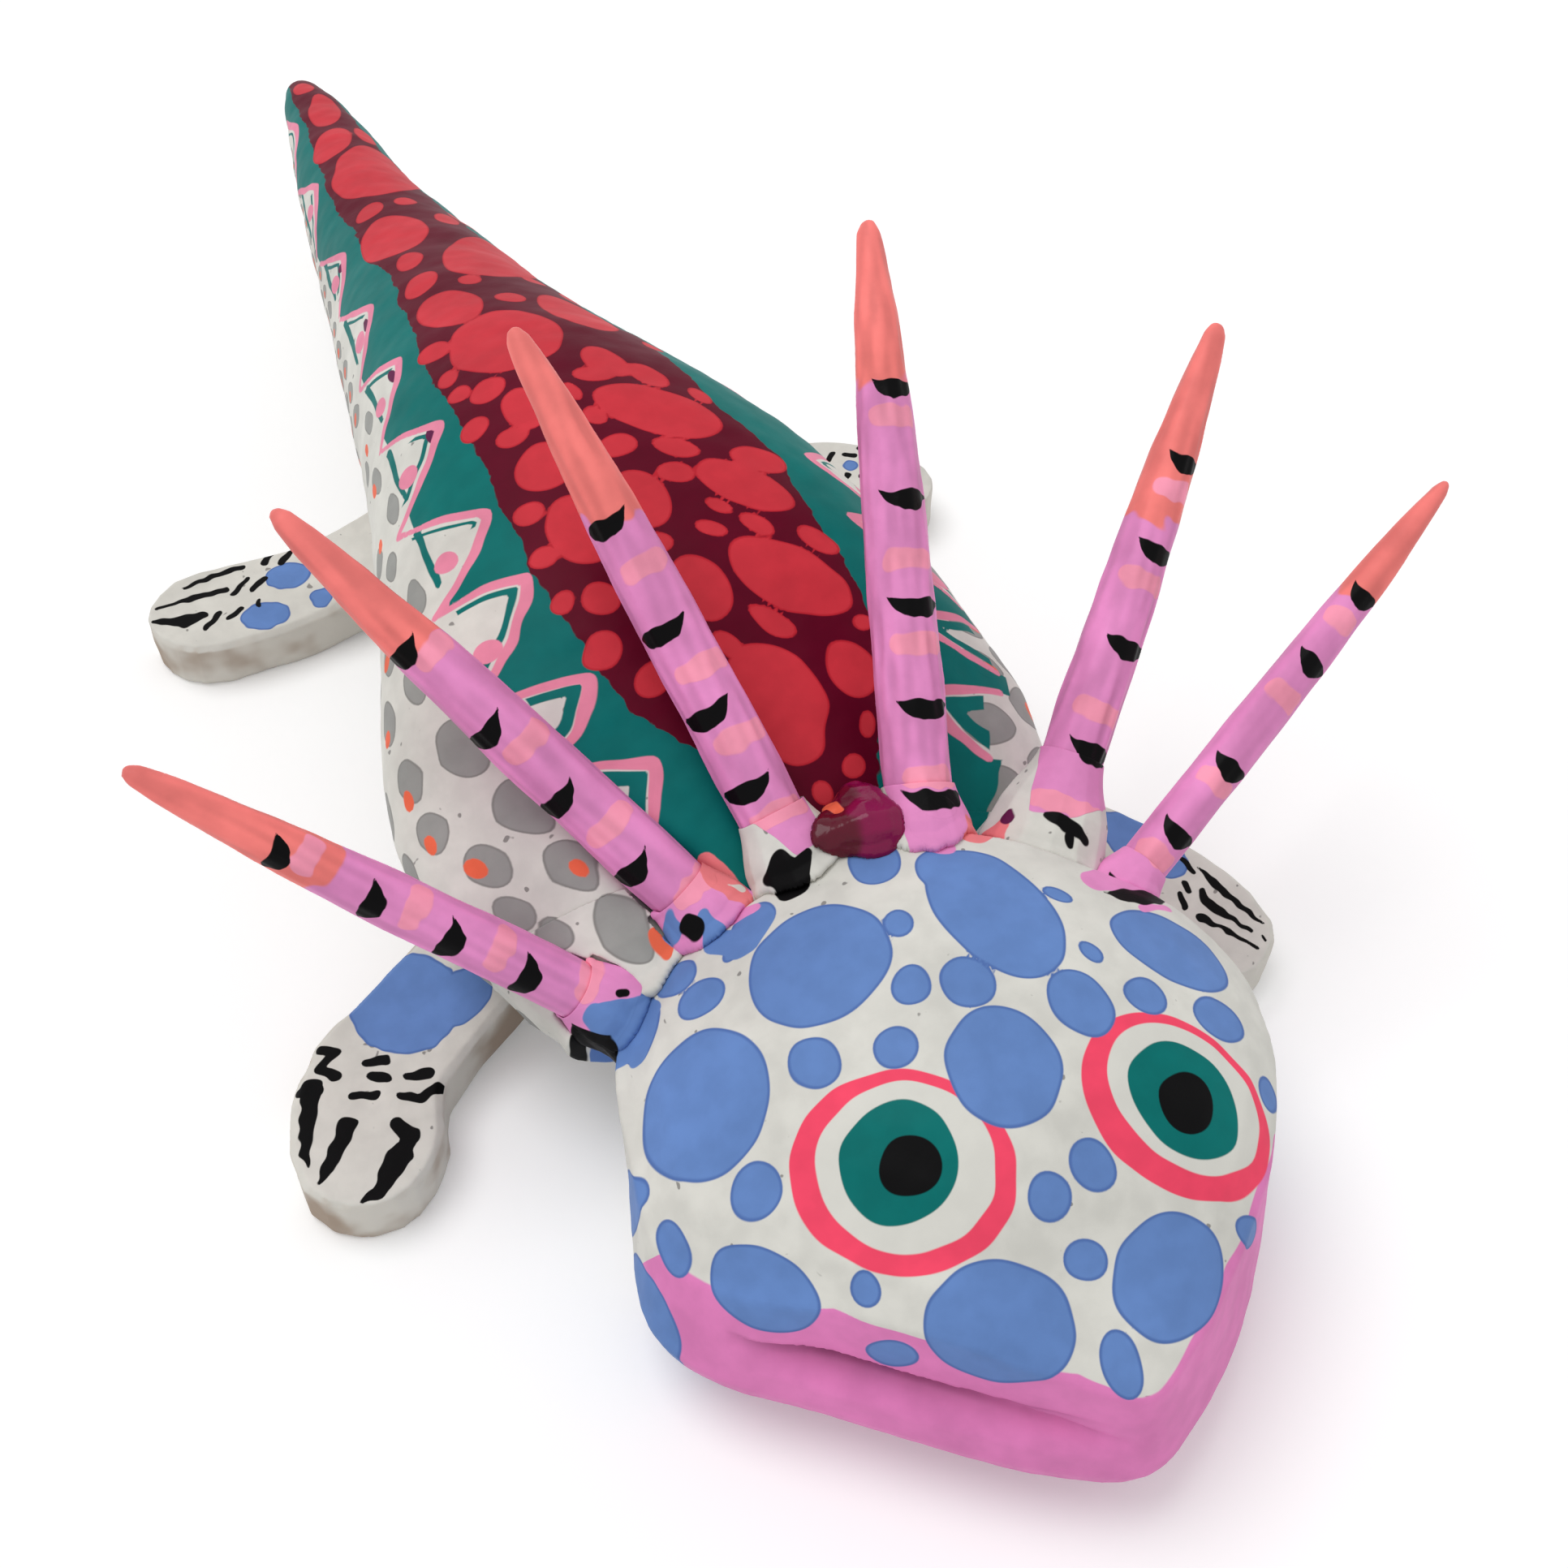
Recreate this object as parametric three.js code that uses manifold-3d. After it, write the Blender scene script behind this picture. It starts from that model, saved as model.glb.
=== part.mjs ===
// A hand-carved wooden axolotl (an alebrije): one log for body and tail, a separate head block,
// six whittled gill sticks set in the back of the head, four flat paddle legs, and the filler and
// glue round the joints. Millimetres, +Z up, head towards -Y, feet flat on z = 0.
import * as THREE from 'three';
import { mergeVertices } from 'three/addons/utils/BufferGeometryUtils.js';
import Module from 'manifold-3d';

const wasm = await Module();
wasm.setup();

// ---------------------------------------------------------------- driving sizes (mm)
const GLUE_GAP = 0.3; // clearance between every two pieces that are glued together

const HEAD_WIDTH = 60; // across the cheeks
const HEAD_TOP = 32; // crown above the ground
const HEAD_BOTTOM = 4; // underside of the jaw above the ground
const HEAD_MIDDLE = [-2, -80]; // a place (x, y) well inside the head that its rings shrink towards
const HEAD_SIDES = 76; // points round the head
const CROWN_FALL = 14; // the crown is this much lower at HEAD_WIDTH / 2 from its middle
const CROWN_EDGE_DROP = 0.7; // and its edge is rounded down by this much

const MOUTH_Z = 13; // height of the mouth line
const MOUTH_DEPTH = 2.8; // how far the mouth is cut in
const MOUTH_HEIGHT = 1.2; // opening of the cut
const MOUTH_ENDS = [-0.87, 0.03]; // its ends on X, as shares of HEAD_WIDTH / 2
const MOUTH_RUN_IN = 6; // it gets to its full depth this far from each end

const BODY_WIDTH = 63.5; // widest part of the log
const BODY_TOP = 41; // highest part of the back above the ground
const BODY_BELLY = 6.3; // belly above the ground
const BODY_WAIST = 0.46; // height of the widest place, as a share of the way from belly to back
const BODY_ROUNDING = { across: 0.94, back: 0.95, belly: 0.8 }; // 1 is an ellipse, less is squarer
const BODY_SIDES = 44; // points round the log
const BODY_ROWS = 34; // rings along the log,
const BODY_CROWDING = 0.12; // closer together towards the tail tip by this share of its length

// Along the log: place on Y, middle on X, half width and belly as shares of BODY_WIDTH / 2 and of
// BODY_BELLY, height of the back. The neck end is cut to meet the head, so it goes by HEAD_TOP.
const BODY_STATIONS = [
  [-61, -9.8, 0.685, 1.45, 0.666 * HEAD_TOP],
  [-56, -10.4, 0.797, 1.2, 0.75 * HEAD_TOP],
  [-50, -10.9, 0.923, 1.05, 0.858 * HEAD_TOP],
  [-42, -11.3, 1.0, 1.0, 0.77 * BODY_TOP],
  [-32, -12.6, 0.964, 1.0, 0.885 * BODY_TOP],
  [-21, -13.0, 0.879, 1.0, 0.965 * BODY_TOP],
  [-5, -15.2, 0.735, 1.0, 1.0 * BODY_TOP],
  [5, -17.5, 0.624, 1.0, 0.975 * BODY_TOP],
  [23, -21.3, 0.475, 1.0, 0.87 * BODY_TOP],
  [46, -24.0, 0.357, 1.15, 0.71 * BODY_TOP],
  [68, -26.9, 0.244, 1.4, 0.585 * BODY_TOP],
  [88, -28.2, 0.17, 1.6, 0.485 * BODY_TOP],
  [101, -29.4, 0.101, 1.83, 0.42 * BODY_TOP],
  [105, -29.8, 0.066, 1.96, 0.39 * BODY_TOP],
];
const TAIL_TIP_Y = 106.4;

// Round the head from the nape by the left cheek to the snout and back: edge of the crown (x, y) and
// the jaw below it (x, y). X values are shares of HEAD_WIDTH / 2.
const HEAD_OUTLINE = [
  [-0.13, -57.5, -0.13, -58.2],
  [-0.53, -58.3, -0.53, -59.5],
  [-0.86, -60.3, -0.84, -62.3],
  [-0.99, -66.0, -0.97, -68.0],
  [-1.03, -76.0, -1.055, -77.5],
  [-1.02, -84.6, -1.09, -86.8],
  [-0.88, -90.2, -0.95, -92.8],
  [-0.66, -94.8, -0.72, -97.4],
  [-0.39, -100.5, -0.43, -103.6],
  [-0.14, -105.9, -0.15, -108.7],
  [0.05, -108.5, 0.06, -110.7],
  [0.22, -105.5, 0.25, -108.0],
  [0.47, -98.9, 0.5, -101.4],
  [0.68, -91.2, 0.71, -92.8],
  [0.805, -83.0, 0.83, -84.5],
  [0.83, -76.0, 0.83, -77.5],
  [0.72, -70.0, 0.71, -71.5],
  [0.45, -64.8, 0.44, -65.8],
  [0.17, -59.6, 0.17, -60.4],
];
// Rings up the head's wall. Jaw: distance in from its outline, height above HEAD_BOTTOM.
const JAW_RINGS = [
  [6.5, 0],
  [2.6, 0.4],
  [0.7, 2.0],
  [0, 4.4],
];
// Mouth, from the lower lip to the upper: share of the way from the crown's outline to the jaw's, share
// of MOUTH_DEPTH, height over MOUTH_Z as a share of MOUTH_HEIGHT. Beside the mouth the wall is straight.
const MOUTH_RINGS = [
  [0.9, 0.06, -1.6],
  [0.8, 0.3, -0.7],
  [0.65, 1, -0.1],
  [0.4, 1, 0.25],
  [0.2, 0.08, 0.5],
];
// Cheek: share of the way out to the jaw's outline over the mouth, distance in, share of the way up
// from the mouth to the crown's edge.
const CHEEK_RINGS = [
  [0.1, 0, 0.35],
  [0, 0, 0.92],
  [0, 0.9, 1.08],
];
const CROWN_RINGS = [0.88, 0.75, 0.6, 0.45, 0.3, 0.15]; // shares of the way out from the middle

// Crown height along the middle of the head, as shares of HEAD_TOP.
const CROWN_STATIONS = [
  [-57.5, 0.9],
  [-66, 0.97],
  [-75, 1.0],
  [-84, 0.975],
  [-91, 0.9],
  [-98, 0.78],
  [-105, 0.665],
  [-111, 0.58],
];

const STICK_SIDES = 14; // whittled faces are finer than this on the real sticks
const TENON_LENGTH = 8; // part of a gill stick inside the head
const TENON_RADIUS = 2.1; // the tenon is thinner than the stick
const SOCKET_CLEARANCE = GLUE_GAP;

// Gill sticks: where the axis meets the head, as shares of HEAD_WIDTH / 2 and HEAD_TOP with Y between
// them; from there to the tip; the thickness near the base; how far the filler spreads round it.
const GILLS = [
  { name: 'gill_1', base: [-0.967, -60.2, 0.55], reach: [-34.2, 16.3, 25.4], thick: 5.3, filler: 0.9 },
  { name: 'gill_2', base: [-0.623, -56.7, 0.697], reach: [-28.5, 30.8, 28.7], thick: 6.1, filler: 1.1 },
  { name: 'gill_3', base: [-0.337, -55.3, 0.816], reach: [-13.6, 38.9, 31.9], thick: 6.2, filler: 1.5 },
  { name: 'gill_4', base: [0.047, -57.0, 0.869], reach: [9.1, 44.3, 32.2], thick: 6.3, filler: 1.2 },
  { name: 'gill_5', base: [0.48, -57.3, 0.778], reach: [27.2, 31.8, 26.1], thick: 5.9, filler: 2.4 },
  { name: 'gill_6', base: [0.603, -65.6, 0.703], reach: [39.6, 21.4, 20.5], thick: 4.6, filler: 0.9 },
];
// Thickness along a stick: share of its length, share of its base thickness.
const STICK_TAPER = [
  [0, 0.96],
  [0.15, 1.0],
  [0.45, 0.95],
  [0.65, 0.84],
  [0.82, 0.64],
  [0.93, 0.45],
  [0.975, 0.34],
  [0.993, 0.2],
];

const LEG_THICKNESS = 5.8; // the planks the legs are cut from
const LEG_EDGE = 0.7; // knife-cut edge along the planks
const TOE_TURNS = [0.12, 0.3, 0.5, 0.72]; // sections round the toe, as shares of a quarter circle
const LEG_STEPS = 15; // sections along the rest of a leg
// Legs: the side of the log that they are set in (-1 is towards -X) and the place of that joint on Y.
// Line from toe to root: distance out from the log's side, Y, width, and lift of the underside.
const LEGS = [
  {
    name: 'leg_front_left',
    side: -1,
    joint: -39,
    line: [
      [8.2, -66.9, 0, 0],
      [8.4, -60.0, 14.0, 0],
      [6.3, -53.2, 13.4, 0],
      [-0.1, -47.9, 12.2, 0.6],
      [-7.6, -43.2, 12.0, 3.0],
      [-14.9, -39.0, 12.0, 6.0],
    ],
  },
  {
    name: 'leg_front_right',
    side: 1,
    joint: -39,
    line: [
      [13.5, -67.6, 0, 0],
      [11.9, -60.6, 13.6, 0],
      [8.5, -53.6, 13.4, 0],
      [3.3, -47.4, 12.6, 0.6],
      [-4.1, -42.4, 12.0, 3.0],
      [-12.1, -39.0, 12.0, 6.0],
    ],
  },
  {
    name: 'leg_rear_left',
    side: -1,
    joint: 18,
    line: [
      [26.4, 12.4, 0, 0],
      [19.4, 13.0, 13.6, 0],
      [12.9, 13.6, 13.2, 0],
      [5.4, 14.8, 11.8, 0.5],
      [-2.6, 16.6, 11.4, 2.4],
      [-10.6, 18.4, 11.4, 5.0],
    ],
  },
  {
    name: 'leg_rear_right',
    side: 1,
    joint: 18,
    line: [
      [33.4, 7.6, 0, 0],
      [27.8, 11.4, 13.2, 0],
      [22.0, 14.6, 13.0, 0],
      [14.6, 17.2, 11.8, 0.5],
      [6.0, 18.6, 11.4, 2.4],
      [-2.8, 19.0, 11.4, 5.0],
    ],
  },
];

const FILLER_RISE = [1.4, 1.7]; // filler along the stick: at least the first, and more for each mm of spread
const FILLER_DEPTH = 4.2; // and below the point where the axis meets the head
const FILLER_LIP = 0.6; // how far it stands out from the stick at its thin end
const FILLER_BULGE = [0.6, 0.35]; // share of the spread that is left at this share of the rise

const COLLAR_Y = [-62, -53.5]; // the filler over the neck joint, along Y
const COLLAR_THICKNESS = [1.5, 0.7]; // at its ends towards the head and the tail
const COLLAR_ROWS = 5;

// A lump of glue over the neck joint: its middle as shares of HEAD_WIDTH / 2 and HEAD_TOP with Y
// between them, its half sizes, and the waves of its surface (how high, and how many each way).
const GLUE_LUMP = { centre: [-0.14, -56.3, 0.878], size: [5.3, 4.3, 3.5], sides: 20 };
const GLUE_WAVES = { height: 0.12, x: 5, y: 4, z: 2 };

const COLOURS = {
  body: 0x7a1230,
  head: 0xdedcd6,
  gill: 0xd478bc,
  leg: 0xd9d6cd,
  filler: 0xe6e2da,
  collar: 0xe9808f,
  glue: 0x9b1458,
};

// ---------------------------------------------------------------- small tools

// Smooth value between stations [[at, v0, v1, ...], ...] sorted by their first number.
function between(stations, at, column) {
  const last = stations.length - 1;
  let i = 0;
  while (i < last - 1 && at > stations[i + 1][0]) i += 1;
  const slope = (k) => {
    const a = stations[Math.max(k - 1, 0)];
    const b = stations[Math.min(k + 1, last)];
    return (b[column] - a[column]) / (b[0] - a[0]);
  };
  const a = stations[i];
  const b = stations[i + 1];
  const step = b[0] - a[0];
  const t = THREE.MathUtils.clamp((at - a[0]) / step, 0, 1);
  const rise = t * t * (3 - 2 * t);
  return (
    a[column] * (1 - rise) + b[column] * rise +
    slope(i) * step * t * (1 - t) * (1 - t) - slope(i + 1) * step * t * t * (1 - t)
  );
}

// A closed surface through rings of equal length (counter-clockwise seen from the last ring),
// closed at each end round a middle point.
function loft(rings, firstMiddle, lastMiddle) {
  const sides = rings[0].length;
  const positions = [];
  const faces = [];
  for (const ring of rings) {
    for (const point of ring) positions.push(point.x, point.y, point.z);
  }
  const first = rings.length * sides;
  const last = first + 1;
  positions.push(firstMiddle.x, firstMiddle.y, firstMiddle.z);
  positions.push(lastMiddle.x, lastMiddle.y, lastMiddle.z);
  for (let side = 0; side < sides; side += 1) {
    const next = (side + 1) % sides;
    for (let row = 0; row < rings.length - 1; row += 1) {
      const low = row * sides;
      const high = low + sides;
      faces.push(low + side, low + next, high + next);
      faces.push(low + side, high + next, high + side);
    }
    const top = (rings.length - 1) * sides;
    faces.push(first, next, side);
    faces.push(last, top + side, top + next);
  }
  const geometry = new THREE.BufferGeometry();
  geometry.setAttribute('position', new THREE.Float32BufferAttribute(positions, 3));
  geometry.setIndex(faces);
  return geometry;
}

// Every point moved outwards along the surface normal, for cutting a neighbour with a gap.
function grown(geometry, distance) {
  const copy = geometry.clone();
  copy.computeVertexNormals();
  const position = copy.attributes.position;
  const normal = copy.attributes.normal;
  for (let i = 0; i < position.count; i += 1) {
    position.setXYZ(
      i,
      position.getX(i) + normal.getX(i) * distance,
      position.getY(i) + normal.getY(i) * distance,
      position.getZ(i) + normal.getZ(i) * distance,
    );
  }
  return copy;
}

function toSolid(geometry) {
  const bare = geometry.clone();
  bare.deleteAttribute('normal');
  bare.deleteAttribute('uv');
  const merged = mergeVertices(bare, 1e-4);
  return new wasm.Manifold(new wasm.Mesh({
    numProp: 3,
    vertProperties: new Float32Array(merged.attributes.position.array),
    triVerts: new Uint32Array(merged.index.array),
  }));
}

function toGeometry(solid) {
  const mesh = solid.getMesh();
  const geometry = new THREE.BufferGeometry();
  geometry.setAttribute('position', new THREE.BufferAttribute(new Float32Array(mesh.vertProperties), 3));
  geometry.setIndex(new THREE.BufferAttribute(new Uint32Array(mesh.triVerts), 1));
  return geometry;
}

// What is left of a solid after the cuts, keeping only its largest piece.
function cutBy(solid, cutters) {
  let left = solid;
  for (const cutter of cutters) left = left.subtract(cutter);
  const pieces = left.decompose();
  return pieces.reduce((best, piece) => (piece.volume() > best.volume() ? piece : best));
}

// ---------------------------------------------------------------- body and tail

// How far the log reaches on a side (-1 or 1) at a place along it.
function bodySide(y, side) {
  return between(BODY_STATIONS, y, 1) + side * between(BODY_STATIONS, y, 2) * BODY_WIDTH / 2;
}

// One ring round the log: flat-bellied oval in the XZ plane, running from -X over the back to +X.
function bodyRing(y) {
  const middleX = between(BODY_STATIONS, y, 1);
  const half = bodySide(y, 1) - middleX;
  const belly = between(BODY_STATIONS, y, 3) * BODY_BELLY;
  const back = between(BODY_STATIONS, y, 4);
  const waist = belly + (back - belly) * BODY_WAIST;
  const ring = [];
  for (let i = 0; i < BODY_SIDES; i += 1) {
    const angle = (i / BODY_SIDES) * Math.PI * 2;
    const across = Math.cos(angle);
    const up = Math.sin(angle);
    const side = Math.sign(across) * Math.abs(across) ** BODY_ROUNDING.across;
    const above = (back - waist) * Math.max(up, 0) ** BODY_ROUNDING.back;
    const below = (waist - belly) * Math.max(-up, 0) ** BODY_ROUNDING.belly;
    ring.push(new THREE.Vector3(middleX - half * side, y, waist + above - below));
  }
  return ring;
}

function bodyGeometry() {
  const start = BODY_STATIONS[0][0];
  const end = BODY_STATIONS[BODY_STATIONS.length - 1][0];
  const rings = [];
  for (let row = 0; row <= BODY_ROWS; row += 1) {
    const share = row / BODY_ROWS;
    const crowded = share + BODY_CROWDING * Math.sin(share * Math.PI) ** 2;
    rings.push(bodyRing(start + (end - start) * crowded));
  }
  const middle = (ring, y) => {
    const box = new THREE.Box3().setFromPoints(ring);
    const centre = box.getCenter(new THREE.Vector3());
    return new THREE.Vector3(centre.x, y, centre.z);
  };
  return loft(rings, middle(rings[0], start), middle(rings[BODY_ROWS], TAIL_TIP_Y));
}

// ---------------------------------------------------------------- head

function crownHeight(x, y) {
  // the table runs from the nape forward, so it is read against -y
  const table = CROWN_STATIONS.map(([at, share]) => [-at, share]);
  const ridge = between(table, -y, 1) * HEAD_TOP;
  return ridge - CROWN_FALL * (x / (HEAD_WIDTH / 2)) ** 2;
}

// Smooth closed outline through HEAD_OUTLINE: the crown's edge (0) or the jaw (1).
function headCurve(which) {
  const points = HEAD_OUTLINE.map((row) => new THREE.Vector3(
    row[which * 2] * HEAD_WIDTH / 2,
    row[which * 2 + 1],
    0,
  ));
  return new THREE.CatmullRomCurve3(points, true, 'centripetal').getPoints(HEAD_SIDES).slice(0, HEAD_SIDES);
}

// How deep the mouth is at a place on the head's outline, as a share of MOUTH_DEPTH.
function mouthShare(point) {
  const [left, right] = MOUTH_ENDS.map((share) => share * HEAD_WIDTH / 2);
  if (point.y > HEAD_MIDDLE[1]) return 0;
  return (
    THREE.MathUtils.smoothstep(point.x, left, left + MOUTH_RUN_IN) *
    THREE.MathUtils.smoothstep(-point.x, -right, -right + MOUTH_RUN_IN)
  );
}

function headGeometry() {
  const edge = headCurve(0);
  const jaw = headCurve(1);
  const middle = new THREE.Vector3(...HEAD_MIDDLE, 0);
  const jawTop = HEAD_BOTTOM + JAW_RINGS[JAW_RINGS.length - 1][1];
  const upperLip = MOUTH_Z + MOUTH_HEIGHT / 2;
  const crownEdge = (point) => crownHeight(point.x, point.y) - CROWN_EDGE_DROP;
  const wallRing = (jawShare, insetAt, heightAt) => edge.map((point, i) => {
    const height = heightAt(point);
    const straight = 1 - (height - jawTop) / (crownEdge(point) - jawTop);
    const share = THREE.MathUtils.lerp(straight, jawShare, mouthShare(point));
    const placed = point.clone().lerp(jaw[i], THREE.MathUtils.clamp(share, 0, 1));
    const inward = middle.clone().sub(placed).normalize();
    placed.addScaledVector(inward, insetAt(point));
    placed.z = height;
    return placed;
  });
  const rings = [
    ...JAW_RINGS.map(([inset, height]) => wallRing(1, () => inset, () => HEAD_BOTTOM + height)),
    ...MOUTH_RINGS.map(([share, depth, height]) => wallRing(
      share,
      (point) => depth * MOUTH_DEPTH * mouthShare(point),
      () => MOUTH_Z + height * MOUTH_HEIGHT,
    )),
    ...CHEEK_RINGS.map(([share, inset, rise]) => wallRing(
      share,
      () => inset,
      (point) => THREE.MathUtils.lerp(upperLip, crownEdge(point), rise),
    )),
  ];
  for (const share of CROWN_RINGS) {
    rings.push(edge.map((point) => {
      const placed = middle.clone().lerp(point, share);
      placed.z = crownHeight(placed.x, placed.y);
      return placed;
    }));
  }
  const under = middle.clone().setZ(HEAD_BOTTOM);
  const crown = middle.clone().setZ(crownHeight(middle.x, middle.y));
  return loft(rings, under, crown);
}

// ---------------------------------------------------------------- gill sticks and their filler

// A place on the head given as a share of its half width, Y, and a share of its height.
function onHead([shareX, y, shareZ]) {
  return new THREE.Vector3(shareX * HEAD_WIDTH / 2, y, shareZ * HEAD_TOP);
}

// Stands a shape made along +Y on a stick's base, pointing at its tip.
function alongStick(geometry, gill) {
  const base = onHead(gill.base);
  const direction = new THREE.Vector3(...gill.reach).normalize();
  const turn = new THREE.Quaternion().setFromUnitVectors(new THREE.Vector3(0, 1, 0), direction);
  return geometry.applyQuaternion(turn).translate(base.x, base.y, base.z);
}

function stickLength(gill) {
  return new THREE.Vector3(...gill.reach).length();
}

function stickGeometry(gill, extra = 0) {
  const length = stickLength(gill);
  const radius = gill.thick / 2;
  const profile = [
    new THREE.Vector2(0, -TENON_LENGTH - extra),
    new THREE.Vector2(TENON_RADIUS + extra, -TENON_LENGTH - extra),
    new THREE.Vector2(TENON_RADIUS + extra, -FILLER_DEPTH),
  ];
  for (const [along, share] of STICK_TAPER) {
    profile.push(new THREE.Vector2(radius * share + extra, length * along));
  }
  profile.push(new THREE.Vector2(0, length + extra));
  return alongStick(new THREE.LatheGeometry(profile, STICK_SIDES), gill);
}

function fillerGeometry(gill, extra = 0) {
  const radius = gill.thick / 2;
  const rise = FILLER_RISE[0] + gill.filler * FILLER_RISE[1];
  const spread = FILLER_LIP + gill.filler;
  const [bulge, bulgeAt] = FILLER_BULGE;
  const profile = [
    new THREE.Vector2(0, -FILLER_DEPTH - extra),
    new THREE.Vector2(radius + spread + extra, -FILLER_DEPTH - extra),
    new THREE.Vector2(radius + spread * bulge + extra, rise * bulgeAt),
    new THREE.Vector2(radius + FILLER_LIP + extra, rise + extra),
    new THREE.Vector2(0, rise + extra),
  ];
  return alongStick(new THREE.LatheGeometry(profile, STICK_SIDES), gill);
}

// ---------------------------------------------------------------- legs

// One cross-section of a plank: a rectangle with cut edges, square to the leg's line.
function plankSection(middle, forward, width, underside) {
  const across = new THREE.Vector3(-forward.y, forward.x, 0);
  const half = width / 2;
  const edge = Math.min(LEG_EDGE, half / 2);
  const top = LEG_THICKNESS;
  const corners = [
    [half - edge / 2, 0],
    [half, edge],
    [half, top - edge],
    [half - edge, top],
    [-half + edge, top],
    [-half, top - edge],
    [-half, edge],
    [-half + edge / 2, 0],
  ];
  return corners.map(([side, up]) => middle.clone()
    .addScaledVector(across, side)
    .add(new THREE.Vector3(0, 0, underside + up)));
}

function legGeometry(leg) {
  const [toe, ball] = leg.line;
  const logSide = bodySide(leg.joint, leg.side);
  const middles = leg.line.map(([out, y]) => new THREE.Vector3(logSide + leg.side * out, y, 0));
  const curve = new THREE.CatmullRomCurve3(middles, false, 'centripetal');
  const along = (share) => curve.getPoint(share / (leg.line.length - 1));
  const forwardAt = (share) => curve.getTangent(share / (leg.line.length - 1)).setZ(0).normalize();
  const table = leg.line.map((row, i) => [i, row[2], row[3]]);
  const rings = [];
  // the toe is a round end, so its sections follow a half circle
  for (const turn of TOE_TURNS) {
    const angle = turn * Math.PI / 2;
    const share = 1 - Math.cos(angle);
    rings.push(plankSection(along(share), forwardAt(share), ball[2] * Math.sin(angle), toe[3]));
  }
  for (let step = 0; step <= LEG_STEPS; step += 1) {
    const share = 1 + (leg.line.length - 2) * (step / LEG_STEPS);
    const width = between(table.slice(1), share, 1);
    const lift = Math.max(between(table.slice(1), share, 2), 0);
    rings.push(plankSection(along(share), forwardAt(share), width, lift));
  }
  const tip = middles[0].clone().setZ(LEG_THICKNESS / 2);
  const root = rings[rings.length - 1].reduce((sum, p) => sum.add(p), new THREE.Vector3())
    .divideScalar(rings[0].length);
  return loft(rings, tip, root);
}

// ---------------------------------------------------------------- neck filler and glue

// A sleeve round the neck end of the log, thick enough to reach past both the log and the head.
function collarGeometry() {
  const rings = [];
  for (let row = 0; row <= COLLAR_ROWS; row += 1) {
    const share = row / COLLAR_ROWS;
    const y = THREE.MathUtils.lerp(...COLLAR_Y, share);
    const swell = THREE.MathUtils.lerp(...COLLAR_THICKNESS, share);
    const ring = bodyRing(Math.max(y, BODY_STATIONS[0][0]));
    const centre = new THREE.Box3().setFromPoints(ring).getCenter(new THREE.Vector3());
    rings.push(ring.map((point) => {
      const outward = point.clone().sub(centre).normalize();
      return point.clone().addScaledVector(outward, swell).setY(y);
    }));
  }
  const middleAt = (y) => new THREE.Vector3(BODY_STATIONS[0][1], y, HEAD_TOP / 2);
  return loft(rings, middleAt(COLLAR_Y[0]), middleAt(COLLAR_Y[1]));
}

function lumpGeometry(extra = 0) {
  const { centre, size, sides } = GLUE_LUMP;
  const ball = new THREE.SphereGeometry(1, sides, sides / 2);
  const position = ball.attributes.position;
  for (let i = 0; i < position.count; i += 1) {
    const x = position.getX(i);
    const y = position.getY(i);
    const z = position.getZ(i);
    const wave = Math.sin(GLUE_WAVES.x * x + 1) + Math.cos(GLUE_WAVES.y * y + GLUE_WAVES.z * z);
    const bump = 1 + GLUE_WAVES.height * wave;
    position.setXYZ(
      i,
      x * bump * (size[0] + extra),
      y * bump * (size[1] + extra),
      z * bump * (size[2] + extra),
    );
  }
  return ball.translate(...onHead(centre));
}

// ---------------------------------------------------------------- the figure

const figure = new THREE.Group();

function add(name, geometry, colour, roughness) {
  geometry.computeVertexNormals();
  const material = new THREE.MeshStandardMaterial({ color: colour, roughness, metalness: 0 });
  const mesh = new THREE.Mesh(geometry, material);
  mesh.name = name;
  figure.add(mesh);
}

const headBlock = headGeometry();
const headGrown = toSolid(grown(headBlock, GLUE_GAP));
const sockets = GILLS.map((gill) => toSolid(stickGeometry(gill, SOCKET_CLEARANCE)));
const headSolid = cutBy(toSolid(headBlock), sockets);
add('head', toGeometry(headSolid), COLOURS.head, 0.62);

const bodyLog = bodyGeometry();
const bodySolid = cutBy(toSolid(bodyLog), [headGrown, ...sockets]);
const bodyGrown = toSolid(grown(bodyLog, GLUE_GAP));
add('torso_tail', toGeometry(bodySolid), COLOURS.body, 0.6);

for (const gill of GILLS) {
  add(gill.name, stickGeometry(gill), COLOURS.gill, 0.5);
}

GILLS.forEach((gill, i) => {
  const cone = toSolid(fillerGeometry(gill));
  const others = GILLS.slice(0, i).map((other) => toSolid(fillerGeometry(other, GLUE_GAP)));
  const filler = cutBy(cone, [headGrown, bodyGrown, ...sockets, ...others]);
  add(`gill_filler_${i + 1}`, toGeometry(filler), COLOURS.filler, 0.55);
});

for (const leg of LEGS) {
  const plank = cutBy(toSolid(legGeometry(leg)), [bodyGrown, headGrown]);
  add(leg.name, toGeometry(plank), COLOURS.leg, 0.7);
}

const cones = GILLS.map((gill) => toSolid(fillerGeometry(gill, GLUE_GAP)));
const lump = cutBy(toSolid(lumpGeometry()), [headGrown, bodyGrown, ...sockets, ...cones]);
add('neck_glue', toGeometry(lump), COLOURS.glue, 0.2);

const legsGrown = LEGS.map((leg) => toSolid(grown(legGeometry(leg), GLUE_GAP)));
const lumpGrown = toSolid(lumpGeometry(GLUE_GAP));
const collar = cutBy(
  toSolid(collarGeometry()),
  [headGrown, bodyGrown, lumpGrown, ...sockets, ...cones, ...legsGrown],
);
add('neck_filler', toGeometry(collar), COLOURS.collar, 0.55);

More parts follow.
